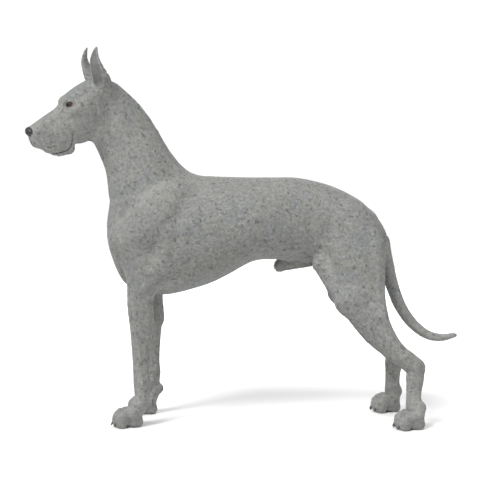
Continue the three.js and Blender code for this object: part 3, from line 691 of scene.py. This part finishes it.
def metres(points):
    return (np.asarray(points, float) - shift) / 1000.0


def piece(name, points, faces, material, uv=None):
    """A mesh object from points in the drawing's millimetres and faces of equal size."""
    mesh = bpy.data.meshes.new(name)
    count, sides = faces.shape
    mesh.vertices.add(len(points))
    mesh.vertices.foreach_set("co", metres(points).astype(np.float32).ravel())
    mesh.loops.add(count * sides)
    mesh.loops.foreach_set("vertex_index", faces.astype(np.int32).ravel())
    mesh.polygons.add(count)
    mesh.polygons.foreach_set("loop_start", np.arange(0, count * sides, sides, dtype=np.int32))
    mesh.polygons.foreach_set("loop_total", np.full(count, sides, np.int32))
    mesh.polygons.foreach_set("use_smooth", np.full(count, True))
    if uv is not None:
        layer = mesh.uv_layers.new(name="OFBake")
        layer.data.foreach_set("uv", uv.astype(np.float32).ravel())
    mesh.update(calc_edges=True)
    mesh.materials.append(material)
    thing = bpy.data.objects.new(name, mesh)
    bpy.context.collection.objects.link(thing)
    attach(thing, "root")
    return thing


# Materials


class Nodes:
    """Short calls for building a node tree."""

    def __init__(self, tree):
        self.tree = tree

    def add(self, kind, inputs=None, **settings):
        node = self.tree.nodes.new(kind)
        for key, value in settings.items():
            setattr(node, key, value)
        for key, value in (inputs or {}).items():
            if isinstance(value, bpy.types.NodeSocket):
                self.tree.links.new(value, node.inputs[key])
            else:
                node.inputs[key].default_value = value
        return node

    def noise(self, place, scale, detail=2.0, rough=0.5):
        node = self.add("ShaderNodeTexNoise", {"Vector": place, "Scale": scale, "Detail": detail,
                                               "Roughness": rough})
        return node.outputs["Fac"]

    def stretched(self, place, scale):
        return self.add("ShaderNodeMapping", {"Vector": place, "Scale": scale}).outputs["Vector"]

    def fit(self, value, low, high, to_low=0.0, to_high=1.0):
        node = self.add("ShaderNodeMapRange", {"Value": value, "From Min": low, "From Max": high,
                                               "To Min": to_low, "To Max": to_high})
        return node.outputs["Result"]

    def mix(self, share, a, b):
        return self.add("ShaderNodeMix", {0: share, 6: a, 7: b}, data_type="RGBA").outputs[2]

    def math(self, kind, a, b):
        return self.add("ShaderNodeMath", {0: a, 1: b}, operation=kind).outputs[0]

    def bump(self, height, strength, distance):
        node = self.add("ShaderNodeBump", {"Height": height, "Strength": strength, "Distance": distance})
        return node.outputs["Normal"]


def group_of(name, inputs, outputs, build):
    """A shader node group with named inputs and outputs."""
    group = bpy.data.node_groups.new(name, "ShaderNodeTree")
    for label, kind, value in inputs:
        socket = group.interface.new_socket(label, in_out="INPUT", socket_type=kind)
        if value is not None:
            socket.default_value = value
    for label, kind in outputs:
        group.interface.new_socket(label, in_out="OUTPUT", socket_type=kind)
    nodes = Nodes(group)
    source = nodes.add("NodeGroupInput")
    target = nodes.add("NodeGroupOutput")
    for label, socket in build(nodes, source.outputs).items():
        group.links.new(socket, target.inputs[label])
    return group


def colour(r, g, b):
    """A screen colour as linear values."""
    turn = lambda c: c / 255 / 12.92 if c <= 10 else ((c / 255 + 0.055) / 1.055) ** 2.4
    return (turn(r), turn(g), turn(b), 1.0)


STEEL_DARK = colour(116, 118, 117)
STEEL_LIGHT = colour(138, 138, 134)
BLUE_PATCH = colour(112, 122, 131)
STRAW_PATCH = colour(144, 139, 120)
GRAIN_DARK = colour(100, 102, 102)
GRAIN_LIGHT = colour(150, 150, 146)
FLECK = colour(72, 74, 77)
HAIR_LIGHT = colour(168, 168, 164)


def coat_colours(nodes, given):
    """Steel grey in soft clouds, with faint blue and straw patches and small dark flecks."""
    place = given["Place"]
    clouds = nodes.fit(nodes.noise(place, 7.0, 5.0, 0.6), 0.3, 0.7)
    base = nodes.mix(clouds, STEEL_DARK, STEEL_LIGHT)
    blue = nodes.fit(nodes.noise(nodes.stretched(place, (1.0, 1.3, 0.8)), 10.0, 3.0), 0.5, 0.7, 0.0, 0.6)
    base = nodes.mix(blue, base, BLUE_PATCH)
    straw = nodes.fit(nodes.noise(nodes.stretched(place, (1.2, 0.9, 1.5)), 20.0, 3.0), 0.55, 0.72, 0.0, 0.7)
    base = nodes.mix(straw, base, STRAW_PATCH)
    grain = nodes.fit(nodes.noise(place, 95.0, 3.0, 0.7), 0.35, 0.65)
    base = nodes.mix(0.55, base, nodes.mix(grain, GRAIN_DARK, GRAIN_LIGHT))
    flecks = nodes.fit(nodes.noise(place, 72.0, 3.0, 0.6), 0.58, 0.66, 0.0, 0.8)
    base = nodes.mix(flecks, base, FLECK)
    base = nodes.mix(nodes.fit(given["Tone"], -1.0, 1.0, 0.0, 0.3), base, HAIR_LIGHT)
    return {"Color": nodes.mix(given["Bare"], base, given["Bare Color"])}


def coat_relief(nodes, given):
    """Fine hairs: noise drawn out along the lie of the coat, level on the body and upright on the legs."""
    place = given["Place"]
    level = nodes.noise(nodes.stretched(place, (0.22, 1.0, 1.0)), 900.0, 2.0, 0.6)
    upright = nodes.noise(nodes.stretched(place, (1.0, 1.0, 0.2)), 900.0, 2.0, 0.6)
    level = nodes.math("MULTIPLY", level, nodes.math("SUBTRACT", 1.0, given["Upright"]))
    upright = nodes.math("MULTIPLY", upright, given["Upright"])
    return {"Height": nodes.math("ADD", level, upright)}


COLOURS = group_of("coat_colours", [
    ("Place", "NodeSocketVector", None),
    ("Bare", "NodeSocketFloat", 0.0),
    ("Tone", "NodeSocketFloat", 0.0),
    ("Bare Color", "NodeSocketColor", (0.05, 0.05, 0.052, 1.0)),
], [("Color", "NodeSocketColor")], coat_colours)
RELIEF = group_of("coat_relief", [
    ("Place", "NodeSocketVector", None),
    ("Upright", "NodeSocketFloat", 0.0),
], [("Height", "NodeSocketFloat")], coat_relief)


def new_material(name):
    material = bpy.data.materials.new(name)
    material.use_nodes = True
    material.node_tree.nodes.clear()
    nodes = Nodes(material.node_tree)
    shader = nodes.add("ShaderNodeBsdfPrincipled")
    out = nodes.add("ShaderNodeOutputMaterial")
    material.node_tree.links.new(shader.outputs["BSDF"], out.inputs["Surface"])
    return material, nodes, shader


def coat_material(name, relief, rough):
    material, nodes, shader = new_material(name)
    link = material.node_tree.links.new
    place = nodes.add("ShaderNodeTexCoord").outputs["Object"]
    bare, upright, tone = [nodes.add("ShaderNodeAttribute", attribute_name=given).outputs["Fac"]
                           for given in ("bare", "upright", "tone")]
    colours = nodes.add("ShaderNodeGroup", node_tree=COLOURS)
    link(place, colours.inputs["Place"])
    link(bare, colours.inputs["Bare"])
    link(tone, colours.inputs["Tone"])
    link(colours.outputs["Color"], shader.inputs["Base Color"])
    hairs = nodes.add("ShaderNodeGroup", node_tree=RELIEF)
    link(place, hairs.inputs["Place"])
    link(upright, hairs.inputs["Upright"])
    link(nodes.bump(hairs.outputs["Height"], relief, HAIR_HEIGHT), shader.inputs["Normal"])
    shader.inputs["Roughness"].default_value = rough
    shader.inputs["Specular IOR Level"].default_value = 0.3
    shader.inputs["Sheen Weight"].default_value = 0.15
    shader.inputs["Sheen Roughness"].default_value = 0.5
    return material


SKIN = coat_material("short_coat_skin", 0.5, 0.62)
TUFT = coat_material("short_coat_tufts", 0.0, 0.6)

# The skin


def give(thing, name, values):
    """A number for each point of a mesh."""
    layer = thing.data.attributes.new(name, "FLOAT", "POINT")
    layer.data.foreach_set("value", np.asarray(values, np.float32))


def bareness(p):
    """Where the skin shows dark: the lips, the lids, inside the ears, and the pads of paw and wrist."""
    q = mirrored(p)
    bare = np.zeros(len(p))
    head = (p[:, 0] < -350) & (p[:, 2] > 850)
    level = np.interp(q[:, 0], MOUTH[:, 0], MOUTH[:, 1])
    lips = np.clip(1 - np.abs(q[:, 2] - level + 1.5) / 4.5, 0, 1) * (q[:, 0] > 16)
    lids = np.clip(1.5 - np.abs(eye_opening(q)) / 1.9, 0, 1) * (eyeball(q) > -3)
    ears = np.clip(0.5 - CUP["distance"](q) / 3.0, 0, 0.55)
    bare[head] = np.maximum.reduce([lips, lids, ears])[head]
    pads = np.clip(1 - (p[:, 2] - SOLE) / 5.0, 0, 1)
    for side, back in ((-1, 0), (1, RIGHT_FORE_BACK)):
        reach = np.linalg.norm(p - [WRIST_PAD[0] + back, side * FORE_STANCE, WRIST_PAD[1]], axis=1)
        pads = np.maximum(pads, np.clip((WRIST_PAD_RADIUS - reach) / 2.5, 0, 1))
    return np.maximum(bare, pads)


def uprightness(p):
    """1 on the legs, where the hair runs up and down."""
    return np.clip((520 - p[:, 2]) / 120, 0, 1)


def skin_part(box, step, keep):
    """The skin's mesh in a box, with only the faces whose middles pass keep."""
    points, faces = surface(dog, box, step)
    faces = faces[keep(points[faces].mean(1))]
    used, again = np.unique(faces, return_inverse=True)
    return points[used], again.reshape(faces.shape)


NECK_CUT = (np.array([-470.0, 0.0, 1040.0]), unit([-0.894, 0, 0.447]))
PAW_CUT = 100.0
ON_BODY, ON_HEAD, ON_EARS, ON_FEET = range(4)


def past_neck(p):
    """How far a place is past the cut between the neck and the head."""
    return (p - NECK_CUT[0]) @ NECK_CUT[1]


def is_foot(p):
    return p[:, 2] < PAW_CUT


def ear_height(p):
    """How far above the skull's top a place is, towards the tips of the ears."""
    q = in_head(p)
    return np.minimum(q[:, 2] - 36, 2 * (-104 - q[:, 0]))


def whole_skin():
    """The body, head, ears, feet and lids as one mesh, with the coat region of every face."""
    parts = [
        skin_part(BODY_BOX, BODY_MESH, lambda c: (past_neck(c) < 3) & (c[:, 2] > PAW_CUT - 3)),
        skin_part(HEAD_BOX, HEAD_MESH,
                  lambda c: (past_neck(c) > 0) & (ear_height(c) < 1) & (eye_reach(c) > LID_REACH)),
        skin_part(EARS_BOX, EAR_MESH, lambda c: ear_height(c) > 0),
    ]
    for fx, fy in FEET.values():
        parts.append(skin_part([(fx - 128, fx + 40), (fy - 60, fy + 60), (-5, 112)], PAW_MESH, is_foot))
    for side in (1, -1):
        middle = from_head(EYE_AT * [1, side, 1])
        box = [(m - LID_REACH - 6, m + LID_REACH + 6) for m in middle]
        parts.append(skin_part(box, LID_MESH, lambda c: eye_reach(c) < LID_REACH + 1))
    regions = [ON_BODY, ON_HEAD, ON_EARS, *[ON_FEET] * 4, *[ON_HEAD] * 2]
    first = np.cumsum([0] + [len(points) for points, _ in parts])
    points = np.concatenate([points for points, _ in parts])
    region = np.concatenate([np.full(len(faces), n) for n, (_, faces) in zip(regions, parts)])
    faces = np.concatenate([faces + start for (_, faces), start in zip(parts, first)])
    return points, faces, region


def eye_reach(p):
    """How far a place is from the middle of the nearer eye."""
    return np.linalg.norm(mirrored(p) - EYE_AT, axis=1)


def point_normals(points, faces):
    """Outward ways at the points, from the faces that meet there."""
    corner = points[faces]
    normal = np.cross(corner[:, 2] - corner[:, 0], corner[:, 3] - corner[:, 1])
    total = np.zeros_like(points)
    for k in range(3):
        for n in range(4):
            total[:, k] += np.bincount(faces[:, n], normal[:, k], len(points))
    return total / np.maximum(np.linalg.norm(total, axis=1), 1e-9)[:, None]


skin_points, skin_faces, skin_region = whole_skin()
skin_normals = point_normals(skin_points, skin_faces)
skin_uv = unwrap(skin_points, skin_faces)
skin = piece("skin", skin_points, skin_faces, SKIN, skin_uv)
give(skin, "bare", bareness(skin_points))
give(skin, "upright", uprightness(skin_points))
give(skin, "tone", np.zeros(len(skin_points)))
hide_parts(*[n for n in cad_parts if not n.startswith(("eye", "claw", "nose", "dewclaw"))])

# The coat's tufts and whiskers


def lie_of(p):
    """The way the hair points: back along the body, down the legs, to the tips of the ears and tail."""
    x, y, z = p.T
    q = in_head(p)
    way = np.tile([1.0, 0.0, -0.35], (len(p), 1))
    neck = np.clip((-200 - x) / 150, 0, 1)[:, None]
    way = way * (1 - neck) + np.array([0.55, 0.0, -0.85]) * neck
    legs = np.clip((540 - z) / 90, 0, 1)[:, None] * (np.abs(y) > 38)[:, None]
    way = way * (1 - legs) + np.array([0.08, 0.0, -1.0]) * legs
    rump = np.clip((x - 430) / 40, 0, 1)[:, None] * (z > 400)[:, None]
    way = way * (1 - rump) + np.array([0.3, 0.0, -1.0]) * rump
    feet = np.clip((70 - z) / 25, 0, 1)[:, None]
    way = way * (1 - feet) + np.array([-0.8, 0.0, -0.6]) * feet
    run = np.array([s[:3] for s in TAIL], float)
    on_tail = (x > 480) & (np.abs(y) < 34) & (z < 560)
    if on_tail.any():
        nearest = np.linalg.norm(p[on_tail, None] - run[None, :-1], axis=2).argmin(1)
        way[on_tail] = (run[1:] - run[:-1])[nearest]
    head = head_share(p)[:, None]
    back = HEAD_AXES.T @ np.array([-1.0, 0.0, -0.12])
    way = way * (1 - head) + back * head
    ears = (q[:, 2] > 22) & (q[:, 0] < -105) & (x < -380) & (z > 880)
    way[ears] = HEAD_AXES.T @ np.array([-0.25, 0.0, 1.0])
    return way


def length_share(p):
    """Longer on the rump, the backs of the thighs and the neck's crest; shorter on muzzle, ears and paws."""
    x, y, z = p.T
    q = in_head(p)
    share = np.ones(len(p))
    share += 0.5 * np.clip((x - 400) / 60, 0, 1) * np.clip((z - 330) / 80, 0, 1)
    share += 0.4 * np.clip((z - 860) / 80, 0, 1) * np.clip((x + 0.9 * z - 560) / 60, 0, 1)
    share -= head_share(p) * np.clip(0.25 + q[:, 0] / 300, 0, 0.55)
    share[(x < -380) & (z > 1100) & (q[:, 2] > 24) & (q[:, 0] < -105)] = 0.6
    near_paw = np.clip((z - PAW_CUT) / 110, 0, 1)
    return share * np.where(z > PAW_CUT, 0.42 + 0.58 * near_paw, 1.0)


ROOT_SPREAD = 0.16
ROOT_SINK = 0.15
RIDGE_AT = 0.45
FLOOR_GAP = 0.2
MOST_IN_A_PIECE = 60000
SLIVER = np.array([[0, 3, 2], [2, 3, 1], [0, 2, 1]])  # of left, right, ridge and tip
SLIVER_CHART = np.array([[-0.0013, -0.0013], [0.0013, -0.0013], [0.0, 0.0004], [0.0, 0.0015]])


def roots_on(region, spacing):
    """Random places on a region's covered skin, with their places in the chart and their outward ways."""
    faces, uv = skin_faces[skin_region == region], skin_uv[skin_region == region]
    corner = skin_points[faces]
    normal = np.cross(corner[:, 2] - corner[:, 0], corner[:, 3] - corner[:, 1])
    area = 0.5 * np.linalg.norm(normal, axis=1)
    count = int(area.sum() / spacing**2)
    chosen = random.choice(len(faces), count, p=area / area.sum())
    a, b = random.random((2, count, 1))
    within = lambda c: (c[:, 0] * (1 - a) + c[:, 1] * a) * (1 - b) + (c[:, 3] * (1 - a) + c[:, 2] * a) * b
    root, spot, up = within(corner[chosen]), within(uv[chosen]), within(skin_normals[faces[chosen]])
    up /= np.maximum(np.linalg.norm(up, axis=1), 1e-6)[:, None]
    covered = (bareness(root) < 0.3) & (eye_opening(mirrored(root)) > LID_RIM)
    return root[covered], spot[covered], up[covered]


def tufts(name, region, spacing, length, width, lift):
    """Locks of short hair rooted all over a region, each a ridged sliver of three faces that lies back."""
    root, spot, up = roots_on(region, spacing)
    count = len(root)
    way = lie_of(root)
    way = way / np.linalg.norm(way, axis=1)[:, None] + random.normal(0, ROOT_SPREAD, (count, 3))
    way -= up * np.einsum("ij,ij->i", way, up)[:, None]
    way /= np.maximum(np.linalg.norm(way, axis=1), 1e-6)[:, None]
    side = np.cross(up, way)
    share = length_share(root)[:, None]
    long = length * share * random.uniform(0.75, 1.25, (count, 1))
    broad = width * random.uniform(0.7, 1.3, (count, 1)) * np.sqrt(share)
    rise = coat_depth(root)[:, None] * lift * random.uniform(0.6, 1.2, (count, 1))
    left = root - side * broad / 2 - up * ROOT_SINK
    right = root + side * broad / 2 - up * ROOT_SINK
    ridge = root + way * long * RIDGE_AT + up * rise
    tip = root + way * long + up * rise * 0.6
    cloud = np.stack([left, right, ridge, tip], 1).reshape(-1, 3)
    cloud[:, 2] = np.maximum(cloud[:, 2], SOLE + FLOOR_GAP)
    rounded = np.stack([up - side * 0.5, up + side * 0.5, up, up + way * 0.3], 1).reshape(-1, 3)
    tone = np.repeat(random.uniform(-1, 1, count), 4)
    tri = (np.arange(count)[:, None, None] * 4 + SLIVER).reshape(-1, 3)
    uvs = (spot[:, None, None, :] + SLIVER_CHART[SLIVER]).reshape(-1, 2)
    for n, start in enumerate(range(0, count, MOST_IN_A_PIECE)):
        end = min(start + MOST_IN_A_PIECE, count)
        part = piece(f"{name}_{n + 1}", cloud[start * 4:end * 4], tri[start * 3:end * 3] - start * 4, TUFT,
                     uvs[start * 9:end * 9])
        give(part, "bare", np.zeros((end - start) * 4))
        give(part, "upright", np.zeros((end - start) * 4))
        give(part, "tone", tone[start * 4:end * 4])
        part.data.normals_split_custom_set_from_vertices(rounded[start * 4:end * 4])


tufts("coat_body", ON_BODY, spacing=3.1, length=13.0, width=2.3, lift=0.75)
tufts("coat_head", ON_HEAD, spacing=2.1, length=6.5, width=1.5, lift=0.9)
tufts("coat_ears", ON_EARS, spacing=1.8, length=6.0, width=1.2, lift=0.6)
tufts("coat_feet", ON_FEET, spacing=2.3, length=6.0, width=1.6, lift=0.9)

LIP_BRISTLES = [(112 - 9 * n, -40 - 12 * row - 1.5 * n) for row in range(4) for n in range(5)]
BROW_BRISTLES = [(-20, 16), (-26, 18), (-14, 12)]
BRISTLE_RADIUS = 0.32
BRISTLE_LENGTH = (16, 26)
BRISTLE_SINK = 1.5
BRISTLE_SIDES = 4
BRISTLE_RINGS = 6


def on_skin(x, side, z):
    """The place on the head's side that has this x and z, felt for from outside."""
    start = np.array([x, 60.0 * side, z])
    for _ in range(30):
        start[1] -= side * 0.8 * max(float(dog(from_head(start)[None])[0]), 0)
    return start


def bristle(root, way, length):
    """Rings along a stem that thins and bends back and down."""
    turn = np.arange(BRISTLE_SIDES) * 2 * pi / BRISTLE_SIDES
    across = unit(np.cross(way, [0.3, 0.1, 1.0]))
    other = np.cross(way, across)
    t = np.linspace(0, 1, BRISTLE_RINGS)
    bend = np.array([-0.35, 0, -0.3]) * length * (t**2)[:, None]
    spine = root + way * length * t[:, None] + bend
    thick = BRISTLE_RADIUS * (1 - 0.85 * t)
    round_stem = np.cos(turn)[:, None] * across + np.sin(turn)[:, None] * other
    return (spine[:, None] + thick[:, None, None] * round_stem).reshape(-1, 3)


def whiskers():
    """Bristles in rows on the lips, and a few over each eye."""
    stems = []
    for side in (1, -1):
        for spots, lean, longest in (LIP_BRISTLES, (-0.45, -0.25), 1.0), (BROW_BRISTLES, (-0.1, 0.6), 0.7):
            for x, z in spots:
                root = on_skin(x, side, z)
                way = unit(np.array([lean[0], side * 1.0, lean[1]]) + random.normal(0, 0.12, 3))
                length = random.uniform(*BRISTLE_LENGTH) * longest
                stems.append(from_head(bristle(root - way * BRISTLE_SINK, way, length)))
    i, j = np.meshgrid(np.arange(BRISTLE_RINGS - 1), np.arange(BRISTLE_SIDES), indexing="ij")
    quads = ring_quads(i, j, BRISTLE_SIDES)
    size = BRISTLE_RINGS * BRISTLE_SIDES
    faces = np.concatenate([quads + n * size for n in range(len(stems))])
    points = np.concatenate(stems)
    thing = piece("whiskers", points, faces, bristle_material(), unwrap(points, faces))


def ring_quads(i, j, sides):
    """Faces between ring i and the next, at side j of a tube."""
    k = (j + 1) % sides
    corners = [i * sides + j, i * sides + k, (i + 1) * sides + k, (i + 1) * sides + j]
    return np.stack(corners, -1).reshape(-1, 4)


def bristle_material():
    material, nodes, shader = new_material("bristles")
    place = nodes.add("ShaderNodeTexCoord").outputs["Object"]
    share = nodes.fit(nodes.noise(place, 60.0), 0.35, 0.65)
    tone = nodes.mix(share, colour(60, 60, 62), colour(128, 128, 126))
    material.node_tree.links.new(tone, shader.inputs["Base Color"])
    shader.inputs["Roughness"].default_value = 0.4
    return material


whiskers()

# Eyes, nose and claws

EYE_RINGS = 72
EYE_SECTORS = 48
CORNEA_RISE = 0.5
CORNEA_EDGE = 0.5  # as an angle from the gaze, like the edges below
PUPIL_EDGE = (0.27, 0.30)
IRIS_RIM = (0.50, 0.70)
IRIS_EDGE = (0.74, 0.84)


def eye(name, side):
    """An eyeball whose rings run round the gaze, so that the iris and pupil are true circles."""
    rings, sectors = EYE_RINGS, EYE_SECTORS
    gaze = unit(HEAD_AXES.T @ (GAZE * [1, side, 1]))
    across = unit(np.cross([0, 0, 1], gaze))
    up = np.cross(gaze, across)
    middle = from_head(EYE_AT * [1, side, 1])
    angle = (np.linspace(0, 1, rings + 1) ** 1.3 * pi)[1:-1]
    turn = np.arange(sectors) * 2 * pi / sectors
    bulge = np.clip(1 - (angle / CORNEA_EDGE) ** 2, 0, 1) * CORNEA_RISE
    reach = (EYE_RADIUS + bulge)[:, None]
    cloud = (middle + (reach * np.cos(angle)[:, None])[..., None] * gaze
             + (reach * np.sin(angle)[:, None] * np.cos(turn))[..., None] * across
             + (reach * np.sin(angle)[:, None] * np.sin(turn))[..., None] * up).reshape(-1, 3)
    cloud = np.concatenate([cloud, [middle + gaze * (EYE_RADIUS + CORNEA_RISE), middle - gaze * EYE_RADIUS]])
    i, j = np.meshgrid(np.arange(rings - 2), np.arange(sectors), indexing="ij")
    k = (j + 1) % sectors
    quads = np.stack([i * sectors + j, (i + 1) * sectors + j, (i + 1) * sectors + k, i * sectors + k], -1)
    quads = quads.reshape(-1, 4)
    front, back = len(cloud) - 2, len(cloud) - 1
    j = np.arange(sectors)
    k = (j + 1) % sectors
    last = (rings - 2) * sectors
    front_cap = np.stack([front + 0 * j, j, k], 1)
    back_cap = np.stack([back + 0 * j, last + k, last + j], 1)
    tri = np.concatenate([quads[:, [0, 1, 2]], quads[:, [0, 2, 3]], front_cap, back_cap])
    thing = piece(name, cloud, tri, EYE)
    off = np.arccos(np.clip((cloud - middle) @ gaze / np.linalg.norm(cloud - middle, axis=1), -1, 1))
    give(thing, "off_gaze", off)
    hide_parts(name.replace("eyeball", "eye"))


def eye_material():
    material, nodes, shader = new_material("wet_eye")
    off = nodes.add("ShaderNodeAttribute", attribute_name="off_gaze").outputs["Fac"]
    place = nodes.add("ShaderNodeTexCoord").outputs["Object"]
    streaks = nodes.noise(place, 700.0, 3.0, 0.7)
    iris = nodes.mix(nodes.fit(streaks, 0.35, 0.7), colour(62, 37, 20), colour(112, 72, 38))
    iris = nodes.mix(nodes.fit(off, *IRIS_RIM), iris, colour(22, 15, 11))
    seen = nodes.mix(nodes.fit(off, *PUPIL_EDGE), colour(5, 5, 6), iris)
    seen = nodes.mix(nodes.fit(off, *IRIS_EDGE), seen, colour(120, 104, 94))
    material.node_tree.links.new(seen, shader.inputs["Base Color"])
    shader.inputs["Roughness"].default_value = 0.35
    shader.inputs["Specular IOR Level"].default_value = 0.15
    shader.inputs["Coat Weight"].default_value = 0.8
    shader.inputs["Coat Roughness"].default_value = 0.02
    return material


def nose_field(p):
    """The nose with its nostrils and the groove between them cut in."""
    q = mirrored(p)
    return np.maximum.reduce([all_of(NOSE, q), -all_of(NOSTRIL, q), -PHILTRUM["distance"](q)])


def nose_material():
    material, nodes, shader = new_material("nose_leather")
    place = nodes.add("ShaderNodeTexCoord").outputs["Object"]
    pebbles = nodes.add("ShaderNodeTexVoronoi", {"Vector": place, "Scale": 900.0}, feature="F1")
    cells = pebbles.outputs["Distance"]
    # Painted shade: the leather's near-black darkens from the middle of each pebble to its edge, in the
    # grooves that the bump below sinks between the pebbles
    tone = nodes.mix(nodes.fit(cells, 0.1, 0.6), colour(52, 51, 53), colour(30, 29, 31))
    material.node_tree.links.new(tone, shader.inputs["Base Color"])
    bump = nodes.bump(nodes.fit(cells, 0.0, 0.7, 1.0, 0.0), 0.5, 0.0006)
    material.node_tree.links.new(bump, shader.inputs["Normal"])
    shader.inputs["Roughness"].default_value = 0.34
    return material


def claw_material():
    material, nodes, shader = new_material("claw_horn")
    place = nodes.add("ShaderNodeTexCoord").outputs["Object"]
    bands = nodes.noise(nodes.stretched(place, (3.0, 1.0, 1.0)), 300.0, 3.0)
    tone = nodes.mix(nodes.fit(bands, 0.35, 0.7), colour(42, 39, 37), colour(78, 72, 66))
    material.node_tree.links.new(tone, shader.inputs["Base Color"])
    material.node_tree.links.new(nodes.bump(bands, 0.2, 0.0005), shader.inputs["Normal"])
    shader.inputs["Roughness"].default_value = 0.42
    return material


EYE = eye_material()
eye("eyeball_left", 1)
eye("eyeball_right", -1)

nose_points, nose_faces = surface(nose_field, NOSE_BOX, NOSE_MESH)
nose = piece("nose_leather", nose_points, nose_faces, nose_material(), unwrap(nose_points, nose_faces))
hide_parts("nose")

HORN = claw_material()
CLAW = dict(length=24.0, radius=5.0, slope=0.6)
DEWCLAW = dict(length=18.0, radius=3.6, slope=1.1)
CLAW_CURL = 0.012
CLAW_LIFT = 2.5
CLAW_TIP = 0.25
CLAW_BED = (-105, 24)  # how far ahead of the foot's middle, and how high
DEWCLAW_BED = (-350, 32, 101)  # how far along, how far inside the leg's middle, and how high


def claw(name, place, kind):
    """A claw that narrows and curls down from its bed between the hairs of the toe."""
    rings, sectors = 12, 14
    t = np.linspace(0, 1, rings)
    along = kind["length"] * (0.5 - t)
    drop = CLAW_CURL * (along - kind["length"] / 2) ** 2
    radius = kind["radius"] * (1 - t) ** 0.62 + CLAW_TIP
    turn = np.arange(sectors) * 2 * pi / sectors
    x = along[:, None] + 0 * turn
    y = radius[:, None] * 0.82 * np.cos(turn)
    z = radius[:, None] * 1.12 * np.sin(turn) - drop[:, None] + CLAW_LIFT
    slope, rise = cos(kind["slope"]), sin(kind["slope"])
    cloud = np.stack([place[0] + x * slope - z * rise, place[1] + y, place[2] + z * slope + x * rise], -1)
    i, j = np.meshgrid(np.arange(rings - 1), np.arange(sectors), indexing="ij")
    thing = piece(name, cloud.reshape(-1, 3), ring_quads(i, j, sectors), HORN)
    return thing


for foot_name, (fx, fy) in FEET.items():
    for n, (across, ahead) in enumerate(TOES):
        horn = claw(f"horn_{foot_name}_{n + 1}", (fx + CLAW_BED[0] - ahead, fy + across, CLAW_BED[1]), CLAW)
        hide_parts(f"claw_{foot_name}_{n + 1}")
for dew_name, side, back in (("left", -1, 0), ("right", 1, RIGHT_FORE_BACK)):
    bed = (back + DEWCLAW_BED[0], side * (FORE_STANCE - DEWCLAW_BED[1]), DEWCLAW_BED[2])
    horn = claw(f"horn_dew_{dew_name}", bed, DEWCLAW)
    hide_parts(f"claw_dew_{dew_name}")

# Floor, light and camera

AMBIENT = 0.5
BACKDROP = 1.1
FLOOR_TONE = (0.86, 0.86, 0.86, 1)
SUN = 3.2
SUN_SPREAD = radians(24)
SUN_WAY = (0.42, 0.5, -0.76)
LAMP_AIM = Vector((0, 0, 0.6))
LAMPS = [("fill", (3.4, -3.0, 1.6), 2.6, 40), ("rim", (0.6, 3.6, 2.4), 2.8, 120)]  # name, place, size, watts
LENS = 110.26
CAMERA_FROM = (0, -5000, 1162)
CAMERA_AT = (0, 0, 634.44)


def studio_floor():
    material, _, shader = new_material("studio_floor")
    shader.inputs["Base Color"].default_value = FLOOR_TONE
    shader.inputs["Roughness"].default_value = 0.9
    bpy.ops.mesh.primitive_plane_add(size=60, location=(0, 10, 0))
    floor = bpy.context.object
    floor.name = "studio_floor"
    floor.data.materials.append(material)


def surround():
    """An even white room, brighter where the camera sees it than where it lights the dog."""
    world = bpy.context.scene.world or bpy.data.worlds.new("studio")
    bpy.context.scene.world = world
    world.use_nodes = True
    sky = Nodes(world.node_tree)
    seen = sky.add("ShaderNodeLightPath").outputs["Is Camera Ray"]
    background = world.node_tree.nodes["Background"].inputs
    world.node_tree.links.new(sky.fit(seen, 0.0, 1.0, AMBIENT, BACKDROP), background["Strength"])
    background["Color"].default_value = (1, 1, 1, 1)


def aimed(name, data, way, place=(0, 0, 0)):
    """An object that looks along a way."""
    thing = bpy.data.objects.new(name, data)
    thing.location = place
    thing.rotation_euler = Vector(way).to_track_quat("-Z", "Y").to_euler()
    bpy.context.collection.objects.link(thing)
    return thing


def lights():
    sun = bpy.data.lights.new("key", "SUN")
    sun.energy = SUN
    sun.angle = SUN_SPREAD
    aimed("key", sun, SUN_WAY)
    for name, place, size, power in LAMPS:
        light = bpy.data.lights.new(name, "AREA")
        light.size = size
        light.energy = power
        aimed(name, light, LAMP_AIM - Vector(place), place)


def camera():
    view = bpy.data.cameras.new("camera")
    view.lens = LENS
    view.sensor_width = 36
    view.clip_end = 100
    start = Vector(metres(CAMERA_FROM))
    bpy.context.scene.camera = aimed("camera", view, Vector(metres(CAMERA_AT)) - start, start)


studio_floor()
surround()
lights()
camera()
bpy.context.scene.view_settings.view_transform = "Standard"
